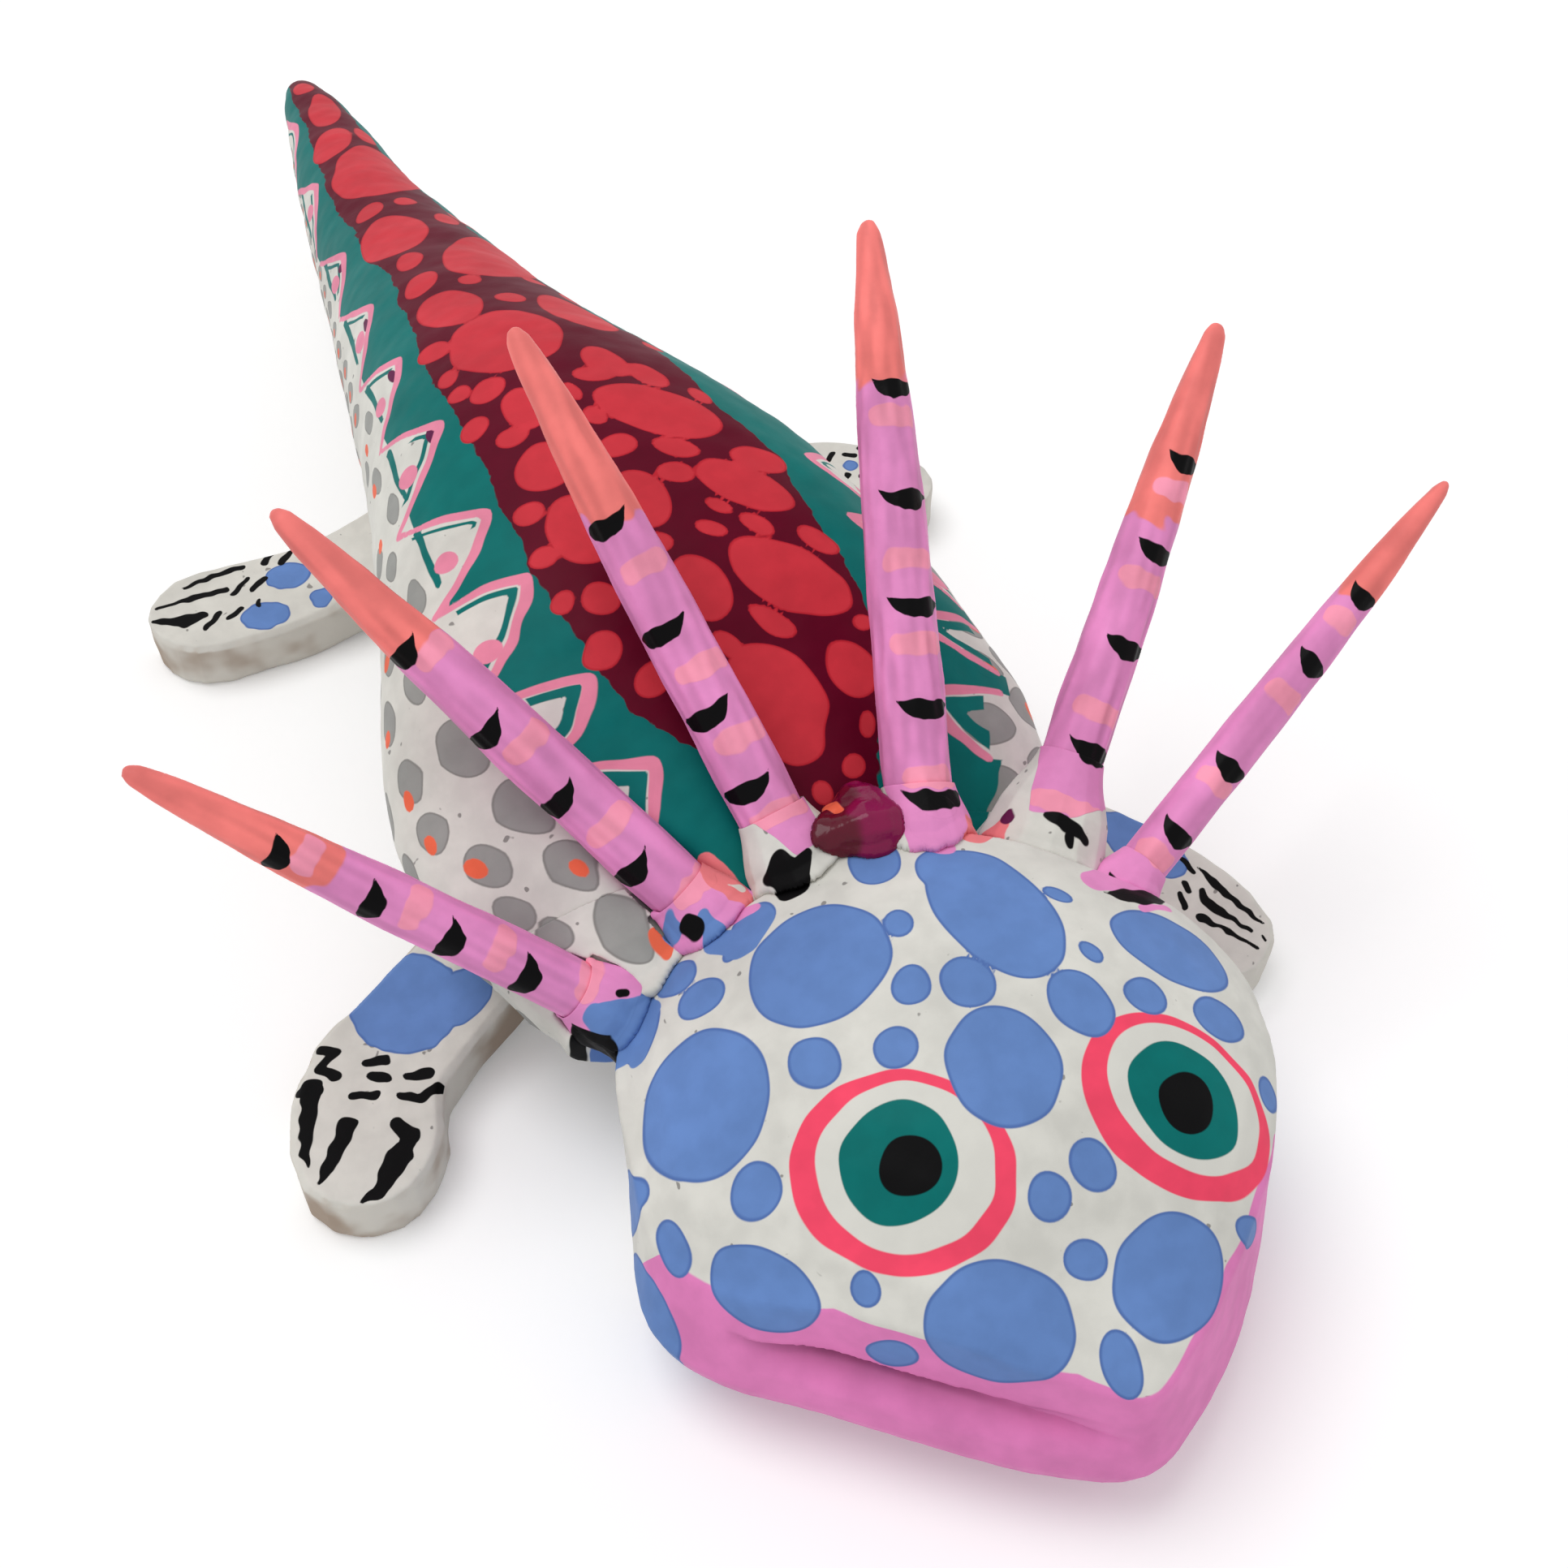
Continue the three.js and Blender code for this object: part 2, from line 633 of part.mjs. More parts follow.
// The origin is under the middle of the figure's outline.
const middle = new THREE.Box3().setFromObject(figure).getCenter(new THREE.Vector3());
figure.position.set(-middle.x, -middle.y, 0);
figure.updateMatrixWorld(true);

export default figure;
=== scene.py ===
"""Looks of the hand-painted wooden axolotl: fine carved surfaces, painted patterns, light and camera.

All lengths in the tables are millimetres in the carver's frame, which is tied to the head's CAD box:
+X to the right of someone facing the figure, +Y towards the tail, +Z up, feet on z = 0.
Every painted shape is a signed distance from its edge, stored on the vertices: negative is inside.
"""

import functools
import math

import bpy
import numpy as np
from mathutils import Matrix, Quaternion, Vector
from mathutils.bvhtree import BVHTree


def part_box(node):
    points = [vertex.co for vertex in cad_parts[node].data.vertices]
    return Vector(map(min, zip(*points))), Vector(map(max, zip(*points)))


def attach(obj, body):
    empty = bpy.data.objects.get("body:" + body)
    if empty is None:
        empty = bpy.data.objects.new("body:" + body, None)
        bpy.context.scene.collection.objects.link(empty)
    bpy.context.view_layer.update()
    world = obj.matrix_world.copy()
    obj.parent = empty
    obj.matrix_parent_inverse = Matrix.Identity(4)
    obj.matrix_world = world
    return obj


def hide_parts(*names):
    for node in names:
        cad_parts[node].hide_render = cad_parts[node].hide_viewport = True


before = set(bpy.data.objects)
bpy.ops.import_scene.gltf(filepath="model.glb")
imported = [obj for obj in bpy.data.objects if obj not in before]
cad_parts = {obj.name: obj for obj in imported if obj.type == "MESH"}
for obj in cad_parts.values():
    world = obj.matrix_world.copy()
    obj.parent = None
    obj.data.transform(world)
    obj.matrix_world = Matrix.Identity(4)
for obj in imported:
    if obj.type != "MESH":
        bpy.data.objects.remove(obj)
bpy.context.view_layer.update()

MM = 0.001
HEAD_CORNER = (-32.9, -110.7, 4.0)  # lowest corner of the head's CAD box in the carver's frame
FAR = 50.0  # a distance that is well away from any painted edge
FILLER_THINNING = 0.9  # share of a filler's wall that is feathered away at its rim
JOINT_REACH = 1.3  # mm from a neighbour within which filler swells towards it, as smeared over the joint
JOINT_SWELL = 0.5
COLLAR_FEATHER = (-57.5, -54.0)  # the collar thins out between these places along the body

# ---------------------------------------------------------------- paint colours as seen (sRGB)
WHITE = (0.862, 0.857, 0.828)
BLUE = (0.405, 0.540, 0.775)
BLUE_RIM = (0.300, 0.415, 0.660)
PINK_LIP = (0.905, 0.520, 0.755)
# painted shade: the dark colour laid into the undercut below the upper lip
MOUTH_SHADE = (0.330, 0.085, 0.225)
RING = (0.975, 0.300, 0.420)
TEAL = (0.030, 0.440, 0.425)
BLACK = (0.020, 0.018, 0.022)
BURGUNDY = (0.365, 0.005, 0.125)
RED = (0.810, 0.215, 0.260)
RED_RIM = (0.720, 0.120, 0.180)
PINK_LINE = (0.925, 0.555, 0.660)
GREY = (0.610, 0.612, 0.598)
LEAF_RIM = (0.520, 0.515, 0.500)
ORANGE = (0.950, 0.430, 0.310)
ORCHID = (0.915, 0.570, 0.790)
CORAL = (0.985, 0.520, 0.500)
PALE_PINK = (0.990, 0.620, 0.720)
SALMON = (0.940, 0.510, 0.530)
MAGENTA = (0.520, 0.020, 0.270)
BARE_WOOD = (0.670, 0.605, 0.545)
LEG_WHITE = (0.855, 0.845, 0.815)
THIN_WHITE = (0.850, 0.835, 0.800)
PURPLE = (0.380, 0.100, 0.280)

# ---------------------------------------------------------------- head patterns
# Flat views in which the head's patterns are laid out: across, up, outward, and how far out they apply.
HEAD_VIEWS = {
    "top": ((1, 0, 0), (0, 1, 0), (0, 0, 1), 15),
    "slanting": ((0.942, -0.337, 0), (0.256, 0.716, 0.649), (-0.219, -0.612, 0.760), 62),
    "right_front": ((0.70, 0.72, 0), (0, 0, 1), (0.72, -0.70, 0), 66),
    "left": ((0, -1, 0), (0, 0, 1), (-1, 0, 0), 25),
    "right": ((0, -1, 0), (0, 0, 1), (1, 0, 0), 17.5),
}
# Blue spots in each view: middle (across, up), half sizes, turn in degrees.
HEAD_SPOTS = {
    "top": [
        (-12.4, -69.2, 5.9, 6.0, -20), (-24.3, -75.5, 5.2, 6.5, 0), (2.7, -70.0, 4.9, 7.9, 10),
        (0.6, -64.4, 2.6, 2.8, 0), (-2.2, -84.1, 4.6, 5.0, 0), (-2.35, -76.5, 2.25, 2.5, 0),
        (-6.6, -75.0, 1.6, 1.9, -20), (-5.35, -68.7, 1.25, 1.6, -10), (-4.5, -60.9, 2.2, 2.9, -12),
        (-15.7, -61.5, 2.3, 1.8, 25), (-17.8, -63.2, 1.6, 0.9, 40), (-22.9, -62.4, 1.8, 2.0, 0),
        (-21.85, -66.2, 2.0, 1.85, 0), (-15.7, -77.8, 1.9, 2.5, 18), (-9.6, -79.7, 1.75, 1.9, 0),
        (-22.9, -84.7, 1.9, 2.35, 15), (-0.8, -98.8, 1.75, 1.45, -10), (-2.05, -94.15, 1.75, 1.6, 0),
        (2.0, -92.9, 1.9, 2.0, 15), (5.95, -80.7, 2.6, 3.2, 12), (11.95, -80.7, 1.95, 1.9, 0),
        (18.2, -82.85, 2.4, 2.2, -20), (16.9, -75.9, 5.4, 3.9, -32), (8.85, -76.05, 0.85, 1.2, 25),
        (8.8, -69.6, 1.35, 0.85, -40), (20.7, -88.7, 1.1, 1.5, -25), (-3.0, -57.6, 2.3, 1.0, 0),
        (2.3, -58.4, 1.6, 1.1, 0),
    ],
    "slanting": [
        (7.9, -59.3, 4.6, 3.4, -22), (26.0, -60.1, 5.75, 5.05, 0), (18.1, -63.7, 2.0, 1.3, -6),
        (35.4, -62.7, 1.6, 2.7, 20), (39.4, -56.5, 4.75, 4.8, 0), (0.5, -57.3, 1.4, 2.2, 17),
        (15.8, -58.1, 1.2, 1.5, 0),
    ],
    "right_front": [
        (-60.8, 19.6, 1.3, 2.3, 25), (-50.0, 9.5, 2.6, 3.0, 0),
    ],
    "left": [
        (64.5, 18.9, 3.3, 2.1, 0), (76.3, 11.0, 2.8, 6.2, -24), (84.9, 7.9, 5.1, 4.7, 0),
        (66.5, 8.5, 3.0, 3.2, 0),
    ],
    "right": [
        (72.0, 17.5, 3.4, 2.6, 10), (79.5, 9.5, 3.6, 4.4, -15), (64.0, 11.5, 2.6, 3.4, 0),
        (86.5, 15.0, 1.6, 1.4, 0), (86.0, 6.5, 2.2, 1.7, 0),
    ],
}
# Eyes, seen from the top: middle, half sizes and turn of the ring, the white, the iris and the pupil.
EYES = [
    {"ring": (-12.1, -88.4, 8.95, 7.0, -37), "white": (-11.8, -88.35, 7.1, 5.85, -38),
     "iris": (-12.3, -87.95, 4.65, 4.3, -40), "pupil": (-11.6, -88.65, 2.45, 2.1, -30)},
    {"ring": (11.2, -89.6, 8.35, 7.1, -25), "white": (11.9, -89.2, 6.75, 5.65, -30),
     "iris": (11.7, -89.5, 4.85, 4.4, -40), "pupil": (11.7, -89.7, 2.65, 2.3, 35)},
]
EYE_LEVEL = 15  # mm above the ground, over which the eyes are
# Upper edge of the pink lips: bearing round the head (0 is straight ahead, left negative), height.
LIP_CENTRE = (-3.5, -84.0)
LIP_END = 104  # bearing to both sides at which the lips end
LIP_EDGE = [
    (-104, -4), (-97, 5), (-93, 12), (-90, 15.5), (-80, 16.9), (-57, 19.7), (-33, 19.7), (-1, 20.3),
    (4, 19.7), (9, 18.8), (13, 18.8), (27, 19.7), (40, 20.6), (52, 20.8), (62, 21.3), (72, 21.0),
    (80, 17), (86, 12), (94, -4),
]
# The lower edge of the upper lip (x, z), how deep its undercut is there as a share, and the undercut in mm.
MOUTH_LINE = [(-27.5, 14.3), (-25.5, 13.9), (-21, 13.5), (-14.3, 13.5), (-11, 13.9), (-3.9, 15.0), (0, 15.5)]
MOUTH_RUN = [(-27.5, 0), (-24, 0.75), (-20, 1), (-13, 0.85), (-8, 0.5), (-1, 0)]
MOUTH_UNDERCUT = 1.1
MOUTH_FADE = 2.8  # mm below the lip where the undercut ends
MOUTH_EDGE = 0.35  # mm below the lip where the undercut is deepest
MOUTH_GLOOM = 0.8  # mm further down in which the shade thins out

# ---------------------------------------------------------------- torso patterns
# Along the body is +Y in mm. Round it is an angle in degrees from straight over the spine, positive to
# the left. The spine runs through these places (x, z) at y:
SPINE = [
    (-62, -9.0, 14.6), (-50, -9.8, 17.1), (-40, -10.6, 19.4), (-30, -12.4, 21.6), (-20, -13.2, 23.0),
    (-10, -14.4, 23.5), (0, -16.3, 23.5), (10, -18.6, 22.6), (20, -20.7, 21.4), (30, -22.2, 20.1),
    (40, -23.3, 18.9), (50, -24.5, 17.8), (60, -25.9, 17.0), (70, -27.1, 16.3), (80, -27.7, 15.5),
    (90, -28.4, 14.9), (108, -30.0, 14.2),
]
# Edge between the burgundy back and the teal band, on the left and on the right: along, angle.
BACK_EDGE_LEFT = [
    (-58, -12), (-48, -6), (-46.5, 14), (-44.5, 25), (-42, 32.5), (-40, 37.5), (-37.5, 38.6),
    (-30, 39.4), (-25, 40.8), (-17.5, 40.4), (-10, 39.4), (0, 38.6), (5, 38.3), (10, 37.0),
    (15, 33.3), (20, 31), (25, 31.7), (28, 27), (31, 27), (35, 29), (40, 34.4), (45, 33.3),
    (50, 33), (53, 35.6), (60, 37.8), (65, 37), (70, 34.4), (76, 38), (80, 35), (85, 33), (90, 37),
    (95, 42), (100, 46), (106, 50),
]
BACK_EDGE_RIGHT = [
    (-58, 40), (-50, 46), (-43, 50), (-35, 51.4), (-33, 51.5), (-29, 50.4), (-25.7, 47.3),
    (-22.5, 46.2), (-17, 46.8), (-14.8, 44.5), (-9.4, 38), (0, 38), (8, 42), (15, 38), (22, 42),
    (30, 37), (38, 42), (46, 38), (54, 43), (62, 40), (72, 44), (82, 40), (92, 46), (106, 50),
]
# Lower edge of the teal band.
BAND_EDGE = [
    (-60, 50), (-50, 54), (-45, 57.5), (-40, 59), (-35, 60.5), (-30, 61.5), (-20, 62.5), (-10, 63.5),
    (0, 62.8), (10, 63.2), (20, 63.5), (30, 65), (40, 68), (50, 73), (60, 79), (70, 84), (80, 88),
    (106, 96),
]
# Red ovals on the back: along, angle, half length, half angle, lean (mm of shift per degree).
RED_SPOTS = [
    (-18.7, 35, 1.25, 4.4, -0.03), (-24.0, 36.4, 1.15, 4.5, 0), (-28.9, 37.7, 1.1, 3.7, -0.08),
    (-34.4, 35, 1.6, 6.4, -0.1), (-5.6, 36.4, 1.45, 5, -0.08), (0.6, 34.5, 1.3, 4.3, -0.04),
    (-0.9, 26.4, 1.7, 6.5, -0.08), (4.0, 33.6, 1.35, 4.1, -0.1), (10.0, 32, 1.7, 6.6, 0),
    (7.2, 9, 6.3, 20.5, -0.06), (-8.9, 28.4, 1.35, 5.3, -0.05), (-5.5, 20.5, 3.2, 6.6, -0.1),
    (-14.0, 24.6, 3.0, 9.2, -0.04), (-22.3, 24.2, 4.1, 9.4, 0), (-29.7, 27.6, 1.5, 5.4, 0),
    (-38.0, 27.0, 1.5, 6.3, -0.08), (-13.9, 1, 1.5, 6.6, -0.02), (-20.6, 2, 3.6, 8.6, 0.02),
    (-25.8, 2, 1.15, 4.4, 0.03), (-31.0, -4.5, 3.3, 10, 0.02), (-42.3, -14.5, 5.5, 18, 0.04),
    (-36.6, -4.5, 1.4, 5.2, 0.1), (-9.1, 2.4, 1.35, 3.4, 0), (-5.0, 4, 1.7, 2.8, 0),
    (-9.6, -17.5, 4.2, 17.4, 0.11), (-2.8, -6.8, 1.35, 6.2, 0.05), (-0.8, -14, 3.1, 7, 0.05),
    (-3.6, -23.5, 2.3, 6, 0.1), (-15.2, -16.4, 1.4, 7, 0.1), (-18.4, -12.2, 1.5, 6.6, 0.02),
    (-25.3, -15.4, 1.0, 5, 0.12), (-23.0, -20.6, 0.9, 4.2, 0.15), (-20.7, -31, 3.1, 12.6, 0.13),
    (-25.4, -29.8, 1.2, 5, 0.12), (-31.0, -33, 3.9, 16.2, 0.12), (-35.1, -23, 1.5, 7, 0.15),
    (-17.2, -39.4, 1.9, 7.9, 0.04), (-27.4, -45.6, 1.5, 5.2, 0.12), (-40.3, -42.5, 2.7, 7.6, 0.05),
    (-36.2, -48.8, 0.9, 2.4, 0), (-45.3, -44.4, 1.1, 2.7, 0), (-48.7, -37.7, 1.1, 5, 0.02),
    (-50.3, -22.7, 1.0, 5, 0.02), (-7.2, -35, 1.4, 3.4, 0), (43.0, 14.5, 6.1, 21.5, -0.05),
    (66.0, -13, 8.9, 44, -0.07), (32.5, -28, 7.4, 31.5, -0.13), (17.7, 15.5, 4.6, 13.3, 0),
    (23.4, -1, 1.3, 4.9, 0), (17.0, -8, 1.55, 5.9, 0), (12.5, -27, 5.8, 12, 0),
    (33.6, 15.3, 2.3, 7.4, -0.1), (26.0, 18, 2.3, 9.4, -0.13), (52.4, 18, 1.9, 11.4, -0.1),
    (53.2, -9.8, 1.5, 7.8, -0.03), (77.5, 12, 4.2, 28, -0.08), (90.0, -4, 5.8, 29, -0.08),
    (24.4, -31, 1.3, 5.5, 0), (47.0, -26, 2.3, 9, -0.1), (50.0, -46, 3.0, 10, 0),
    (4.5, -40.5, 1.4, 3.2, 0), (20.5, -42, 2.2, 4.6, 0), (80.0, -34, 3.0, 13, 0),
    (100.0, 8, 2.4, 30, 0),
]
# Teeth of the teal band are petals that its pink line goes round. Each has its foot towards the tail, its
# tip and its foot towards the head (along, angle); the teal arch inside it (along, from and to, then how
# far inside the petal's edge it starts and ends in mm); whether a teal bar crosses its foot; and marks
# (name, along, angle, half length, half angle).
TEETH = [
    {"petal": [(-43.4, 56), (-44.7, 39.4), (-50.0, 52)], "arch": (-60, -30, 0.6, 1.9)},
    {"petal": [(-35.4, 60), (-36.5, 41.6), (-41.2, 57)], "arch": (-50, -30, 0.5, 1.35)},
    {"petal": [(-24.0, 64), (-25.3, 42), (-33.2, 60)], "arch": (-33, -20, 0.7, 1.3),
     "marks": [("pink", -30.4, 57.4, 1.1, 3.0)]},
    {"petal": [(-11.2, 69), (-16.9, 43.9), (-24.0, 65)], "arch": (-17.5, -11, 0.9, 1.3), "bar": True,
     "marks": [("pink", -19.2, 58.2, 1.2, 3.3)]},
    {"petal": [(3.2, 67), (-2.3, 43.9), (-11.0, 69)], "arch": (-8, -1, 0.9, 1.5), "bar": True,
     "marks": [("pink", -5.2, 59.4, 1.5, 3.7), ("purple", -2.6, 47.6, 1.3, 2.0)]},
    {"petal": [(17.5, 67), (13.2, 42.6), (3.8, 66)], "arch": (13.0, 17.5, 0.9, 1.5), "bar": True,
     "marks": [("pink", 9.6, 59.4, 1.5, 3.6), ("purple", 11.8, 49.0, 1.4, 2.0)]},
    {"petal": [(36.0, 68), (28.0, 42.6), (18.2, 67)], "arch": (28.5, 36, 0.9, 1.4), "bar": True,
     "marks": [("pink", 25.2, 56.6, 1.9, 4.4), ("purple", 26.4, 49.6, 1.5, 2.4)]},
    {"petal": [(54.0, 76), (45.7, 46.7), (37.0, 68)], "arch": (41, 54, 0.9, 1.4), "bar": True,
     "marks": [("pink", 43.6, 62.6, 1.6, 5.2), ("purple", 44.6, 52.6, 0.8, 3.4)]},
    {"petal": [(76.0, 86), (67.7, 46), (56.7, 78)], "arch": (58, 68, 0.9, 1.3), "bar": True,
     "marks": [("pink", 65.4, 66.0, 1.6, 8.0)]},
    {"petal": [(96.0, 90), (88.5, 50), (78.0, 88)], "arch": (80, 96, 0.9, 1.3)},
]
PETAL_BULGE = (0.35, 0.85)  # how far the two sides of a petal curve outwards, mm
LINE_HALF_WIDTH = (0.34, 0.54)  # of the pink line at the feet and the tip
PETAL_SHOULDER = (0.15, 0.08)  # how far down its side a petal starts to narrow: share of length, of angle
PETAL_OPENING = 12  # degrees from a petal's feet down to where its cut into the band ends
PETAL_FOOT = 5  # degrees that the bars lie above the feet
ARCH_DROP = 3  # degrees that arches and bars reach below that
BAR_HALF_WIDTH = 0.5
BAR_ENDS = [(0.14, 1.0, 1.0), (0.76, -0.5, 0.6)]  # share of the way to the head, degrees lower, thickness
TOOTH_SHAPES = ("tooth", "pink", "purple", "petal", "arch_room", "arch_outer", "arch_inner")
# The right-hand band and teeth are the left ones moved along, and turned further down: along, degrees.
RIGHT_SHIFT = 1.3
RIGHT_TURN = [(-60, 21), (-36, 20), (-22, 14), (-10, 11), (110, 11)]
# Grey leaves on the left flank that are clearly seen: along, angle, half length, half angle, lean.
LEFT_LEAVES = [
    (-37.2, 69.6, 2.9, 4.4, 0.0), (-44.2, 67.2, 2.6, 4.6, 0.0), (-50.2, 67.2, 2.5, 4.2, -0.08),
    (-56.4, 67.4, 3.2, 5.0, -0.16), (-47.2, 76.4, 2.1, 3.3, 0.0), (-41.9, 80.4, 2.0, 3.0, 0.0),
    (-36.6, 79.8, 2.2, 3.0, 0.05), (-29.3, 82.1, 2.4, 3.2, 0.08), (-51.4, 78.8, 1.7, 3.0, 0.0),
    (-28.8, 72.4, 2.5, 3.0, 0.0), (-20.2, 67.8, 2.5, 2.9, 0.1), (-13.2, 73.4, 1.9, 2.8, 0.0),
    (-6.5, 68.0, 2.4, 3.0, 0.0), (0.8, 73.0, 2.2, 3.4, 0.1), (11.0, 69.0, 2.3, 3.6, 0.1),
    (-22.5, 79.0, 2.3, 3.2, 0.08), (-16.0, 82.5, 2.1, 3.4, 0.08), (6.0, 80.5, 2.2, 3.6, 0.1),
    (-9.5, 80.0, 2.1, 3.2, 0.08), (-54.4, 76.4, 1.5, 2.6, 0.0), (-48.6, 87.0, 2.3, 3.0, 0.0),
    (-54.2, 86.0, 2.0, 3.0, 0.0), (-42.6, 89.0, 2.2, 2.8, 0.0), (-36.0, 89.5, 2.3, 2.8, 0.0),
    (-22.8, 89.0, 2.2, 3.0, 0.0),
]
LEFT_DOTS = [  # orange dots on them
    (-50.7, 66.4, 0.85, 1.4), (-46.8, 78.0, 0.95, 1.4), (-42.7, 81.6, 0.9, 1.1), (-37.9, 81.6, 1.0, 1.1),
    (-30.5, 83.4, 0.9, 1.3), (-8.0, 77.8, 0.9, 1.6), (0.4, 76.0, 1.0, 1.8), (8.4, 75.5, 1.0, 1.8),
    (-58.7, 63.6, 1.35, 1.9, -0.25), (-22.8, 80.6, 0.9, 1.6), (-48.2, 88.6, 0.9, 1.3),
]
LEAF_POINT = 1.35  # how pointed the leaves' ends are: 2 for an oval, 1 for the sharpest point
# Further rows, painted in a loop: their angles on both flanks, only on the right, and on the left behind
# the listed leaves, where they slope down by so many degrees per mm.
LEAF_ROW_ANGLES = (97, 109, 121, 134, 148, 163)
RIGHT_FIRST_ROWS = (74, 86)
LEFT_UPPER_ROWS = (76, 88)
UPPER_ROW_SLOPE = 0.08
ROWS_START, ROW_STAGGER, ROWS_END = -57.0, 2.7, 88
UPPER_ROWS_START, UPPER_ROW_STAGGER, UPPER_ROWS_END = 17.0, 3, 90
LEAF_SIZES = [(-60, 1.0), (0, 0.95), (60, 0.7), (100, 0.45)]  # along, share of full size
LEAF_HALF_LENGTH = 2.1
LEAF_HALF_ANGLE, UPPER_LEAF_HALF_ANGLE = 6.0, 5.5
LEAF_STEP, UPPER_LEAF_STEP = (5.4, 0.5), (5.6, 0.6)  # to the next leaf: mm times its size, and mm
DOTTED_SHARE = 0.5  # of these leaves that have a dot
DOT_HALF = (0.85, 2.8)  # half length, half angle
DOT_DROP = 2  # degrees from a leaf's middle down to its dot

# ---------------------------------------------------------------- gill patterns
# Along is mm from the stick's base. Round it is an angle from its upper side, positive to its left
# seen from the base.
GILLS = {
    1: {
        "base": (-29.0, -60.2, 17.6), "tip": (-63.2, -43.9, 43.0), "coral": 27.6, "start": -6,
        "black": [8.6, 16.0, 23.4, 32.2], "pale": [(11.4, -25), (19.6, -25), (3.0, 0), (29.6, -25)],
    },
    2: {
        "base": (-18.7, -56.7, 22.3), "tip": (-47.2, -25.9, 51.0), "coral": 34.2, "start": -12,
        "black": [8.0, 16.8, 25.3, 35.0], "pale": [(11.9, -30), (22.0, -20), (2.8, 0), (33.0, -5)],
    },
    3: {
        "base": (-10.1, -55.3, 26.1), "tip": (-23.7, -16.4, 58.0), "coral": 33.8, "start": 14,
        "black": [7.3, 14.6, 22.8, 33.2], "pale": [(11.3, -2), (18.3, -4), (28.3, -10), (3.8, -10)],
    },
    4: {
        "base": (1.4, -57.0, 27.8), "tip": (10.5, -12.7, 60.0), "coral": 40.6, "start": -38,
        "black": [2.4, 10.5, 19.6, 29.4, 39.6], "pale": [(4.0, 20), (15.8, 20), (23.4, 18), (36.5, 10)],
    },
    5: {
        "base": (14.4, -57.3, 24.9), "tip": (41.6, -25.5, 51.0), "coral": 29.4, "start": -15,
        "black": [6.6, 16.8, 26.2, 35.2], "pale": [(0.4, 25), (9.9, 30), (22.8, 30), (31.9, 35)],
    },
    6: {
        "base": (18.1, -65.6, 22.5), "tip": (57.7, -44.2, 43.0), "coral": 35.4, "start": -20,
        "black": [-0.6, 7.0, 14.8, 27.2, 35.2], "pale": [(4.0, 25), (12.6, 35), (22.8, 30), (31.8, 25)],
    },
}
BLACK_SIDE = {1: -1, 2: -1, 3: -1, 4: 1, 5: 1, 6: 1}  # the side of each stick that the black bands are on

# ---------------------------------------------------------------- foot patterns (x, y and half width)
FOOT_STROKES = {
    "leg_front_left": [
        [(-55.6, -53.3, 1.0), (-57.4, -60.0, 0.45), (-57.2, -61.3, 0.12)],
        [(-55.0, -53.8, 0.5), (-56.6, -53.6, 0.6)],
        [(-53.2, -58.2, 0.9), (-55.6, -62.0, 0.6), (-56.7, -63.2, 0.15)],
        [(-49.2, -62.6, 1.25), (-51.6, -65.7, 0.7), (-53.4, -66.3, 0.15)],
        [(-48.9, -59.4, 0.7), (-47.9, -61.0, 0.9), (-48.8, -62.2, 0.5)],
        [(-54.3, -49.4, 0.45), (-52.9, -50.0, 0.5), (-54.7, -51.5, 0.45), (-53.3, -52.6, 0.55)],
        [(-50.3, -52.1, 0.45), (-48.6, -52.3, 0.55)],
        [(-50.1, -53.6, 0.5), (-48.8, -54.3, 0.5)],
        [(-52.2, -55.2, 0.45), (-50.3, -55.7, 0.5)],
        [(-47.0, -54.7, 0.5), (-45.0, -55.0, 0.55)],
        [(-48.0, -56.4, 0.45), (-46.4, -57.4, 0.5), (-44.5, -56.7, 0.6)],
    ],
    "leg_front_right": [
        [(32.0, -60.4, 0.65), (33.0, -61.6, 0.25), (35.5, -65.2, 0.22)],
        [(33.4, -57.2, 0.35), (33.2, -58.5, 0.6), (35.9, -63.3, 0.2)],
        [(34.4, -54.4, 0.15), (35.2, -57.2, 0.5), (37.4, -62.8, 0.2)],
        [(31.1, -57.0, 0.35), (30.9, -58.5, 0.4)],
        [(32.2, -55.8, 0.3), (32.1, -57.0, 0.3)],
        [(33.4, -53.0, 0.3), (33.5, -55.0, 0.3)],
        [(36.6, -64.2, 0.2), (36.8, -64.7, 0.2)],
    ],
    "leg_rear_left": [
        [(-58.6, 17.1, 0.2), (-55.0, 18.0, 0.45), (-51.9, 18.5, 0.45)],
        [(-61.9, 14.4, 0.2), (-57.5, 15.2, 0.45), (-54.0, 15.4, 0.45)],
        [(-62.4, 12.4, 0.25), (-59.2, 11.5, 1.0), (-56.9, 11.9, 0.5)],
        [(-57.0, 9.7, 0.4), (-55.2, 11.8, 0.4)],
        [(-54.3, 10.5, 0.4), (-52.8, 11.8, 0.35)],
        [(-51.0, 11.6, 0.25), (-50.7, 12.5, 0.25)],
        [(-53.3, 14.4, 0.4), (-51.5, 16.4, 0.3)],
        [(-51.1, 14.4, 0.4), (-49.6, 15.8, 0.4)],
        [(-49.4, 18.3, 0.4), (-48.1, 20.2, 0.5)],
        [(-47.4, 17.8, 0.4), (-46.1, 19.4, 0.4)],
    ],
    "leg_rear_right": [
        [(27.8, 9.0, 0.3), (22.2, 12.6, 0.5)],
        [(28.6, 11.6, 0.25), (24.4, 14.6, 0.5)],
        [(26.8, 15.6, 0.2), (23.6, 17.6, 0.45)],
        [(21.4, 16.9, 0.4), (22.4, 16.6, 0.4)],
        [(20.4, 13.4, 0.4), (19.4, 12.2, 0.4)],
        [(20.0, 17.8, 0.35), (19.0, 16.6, 0.35)],
        [(18.6, 14.4, 0.35), (17.8, 13.4, 0.35)],
    ],
}
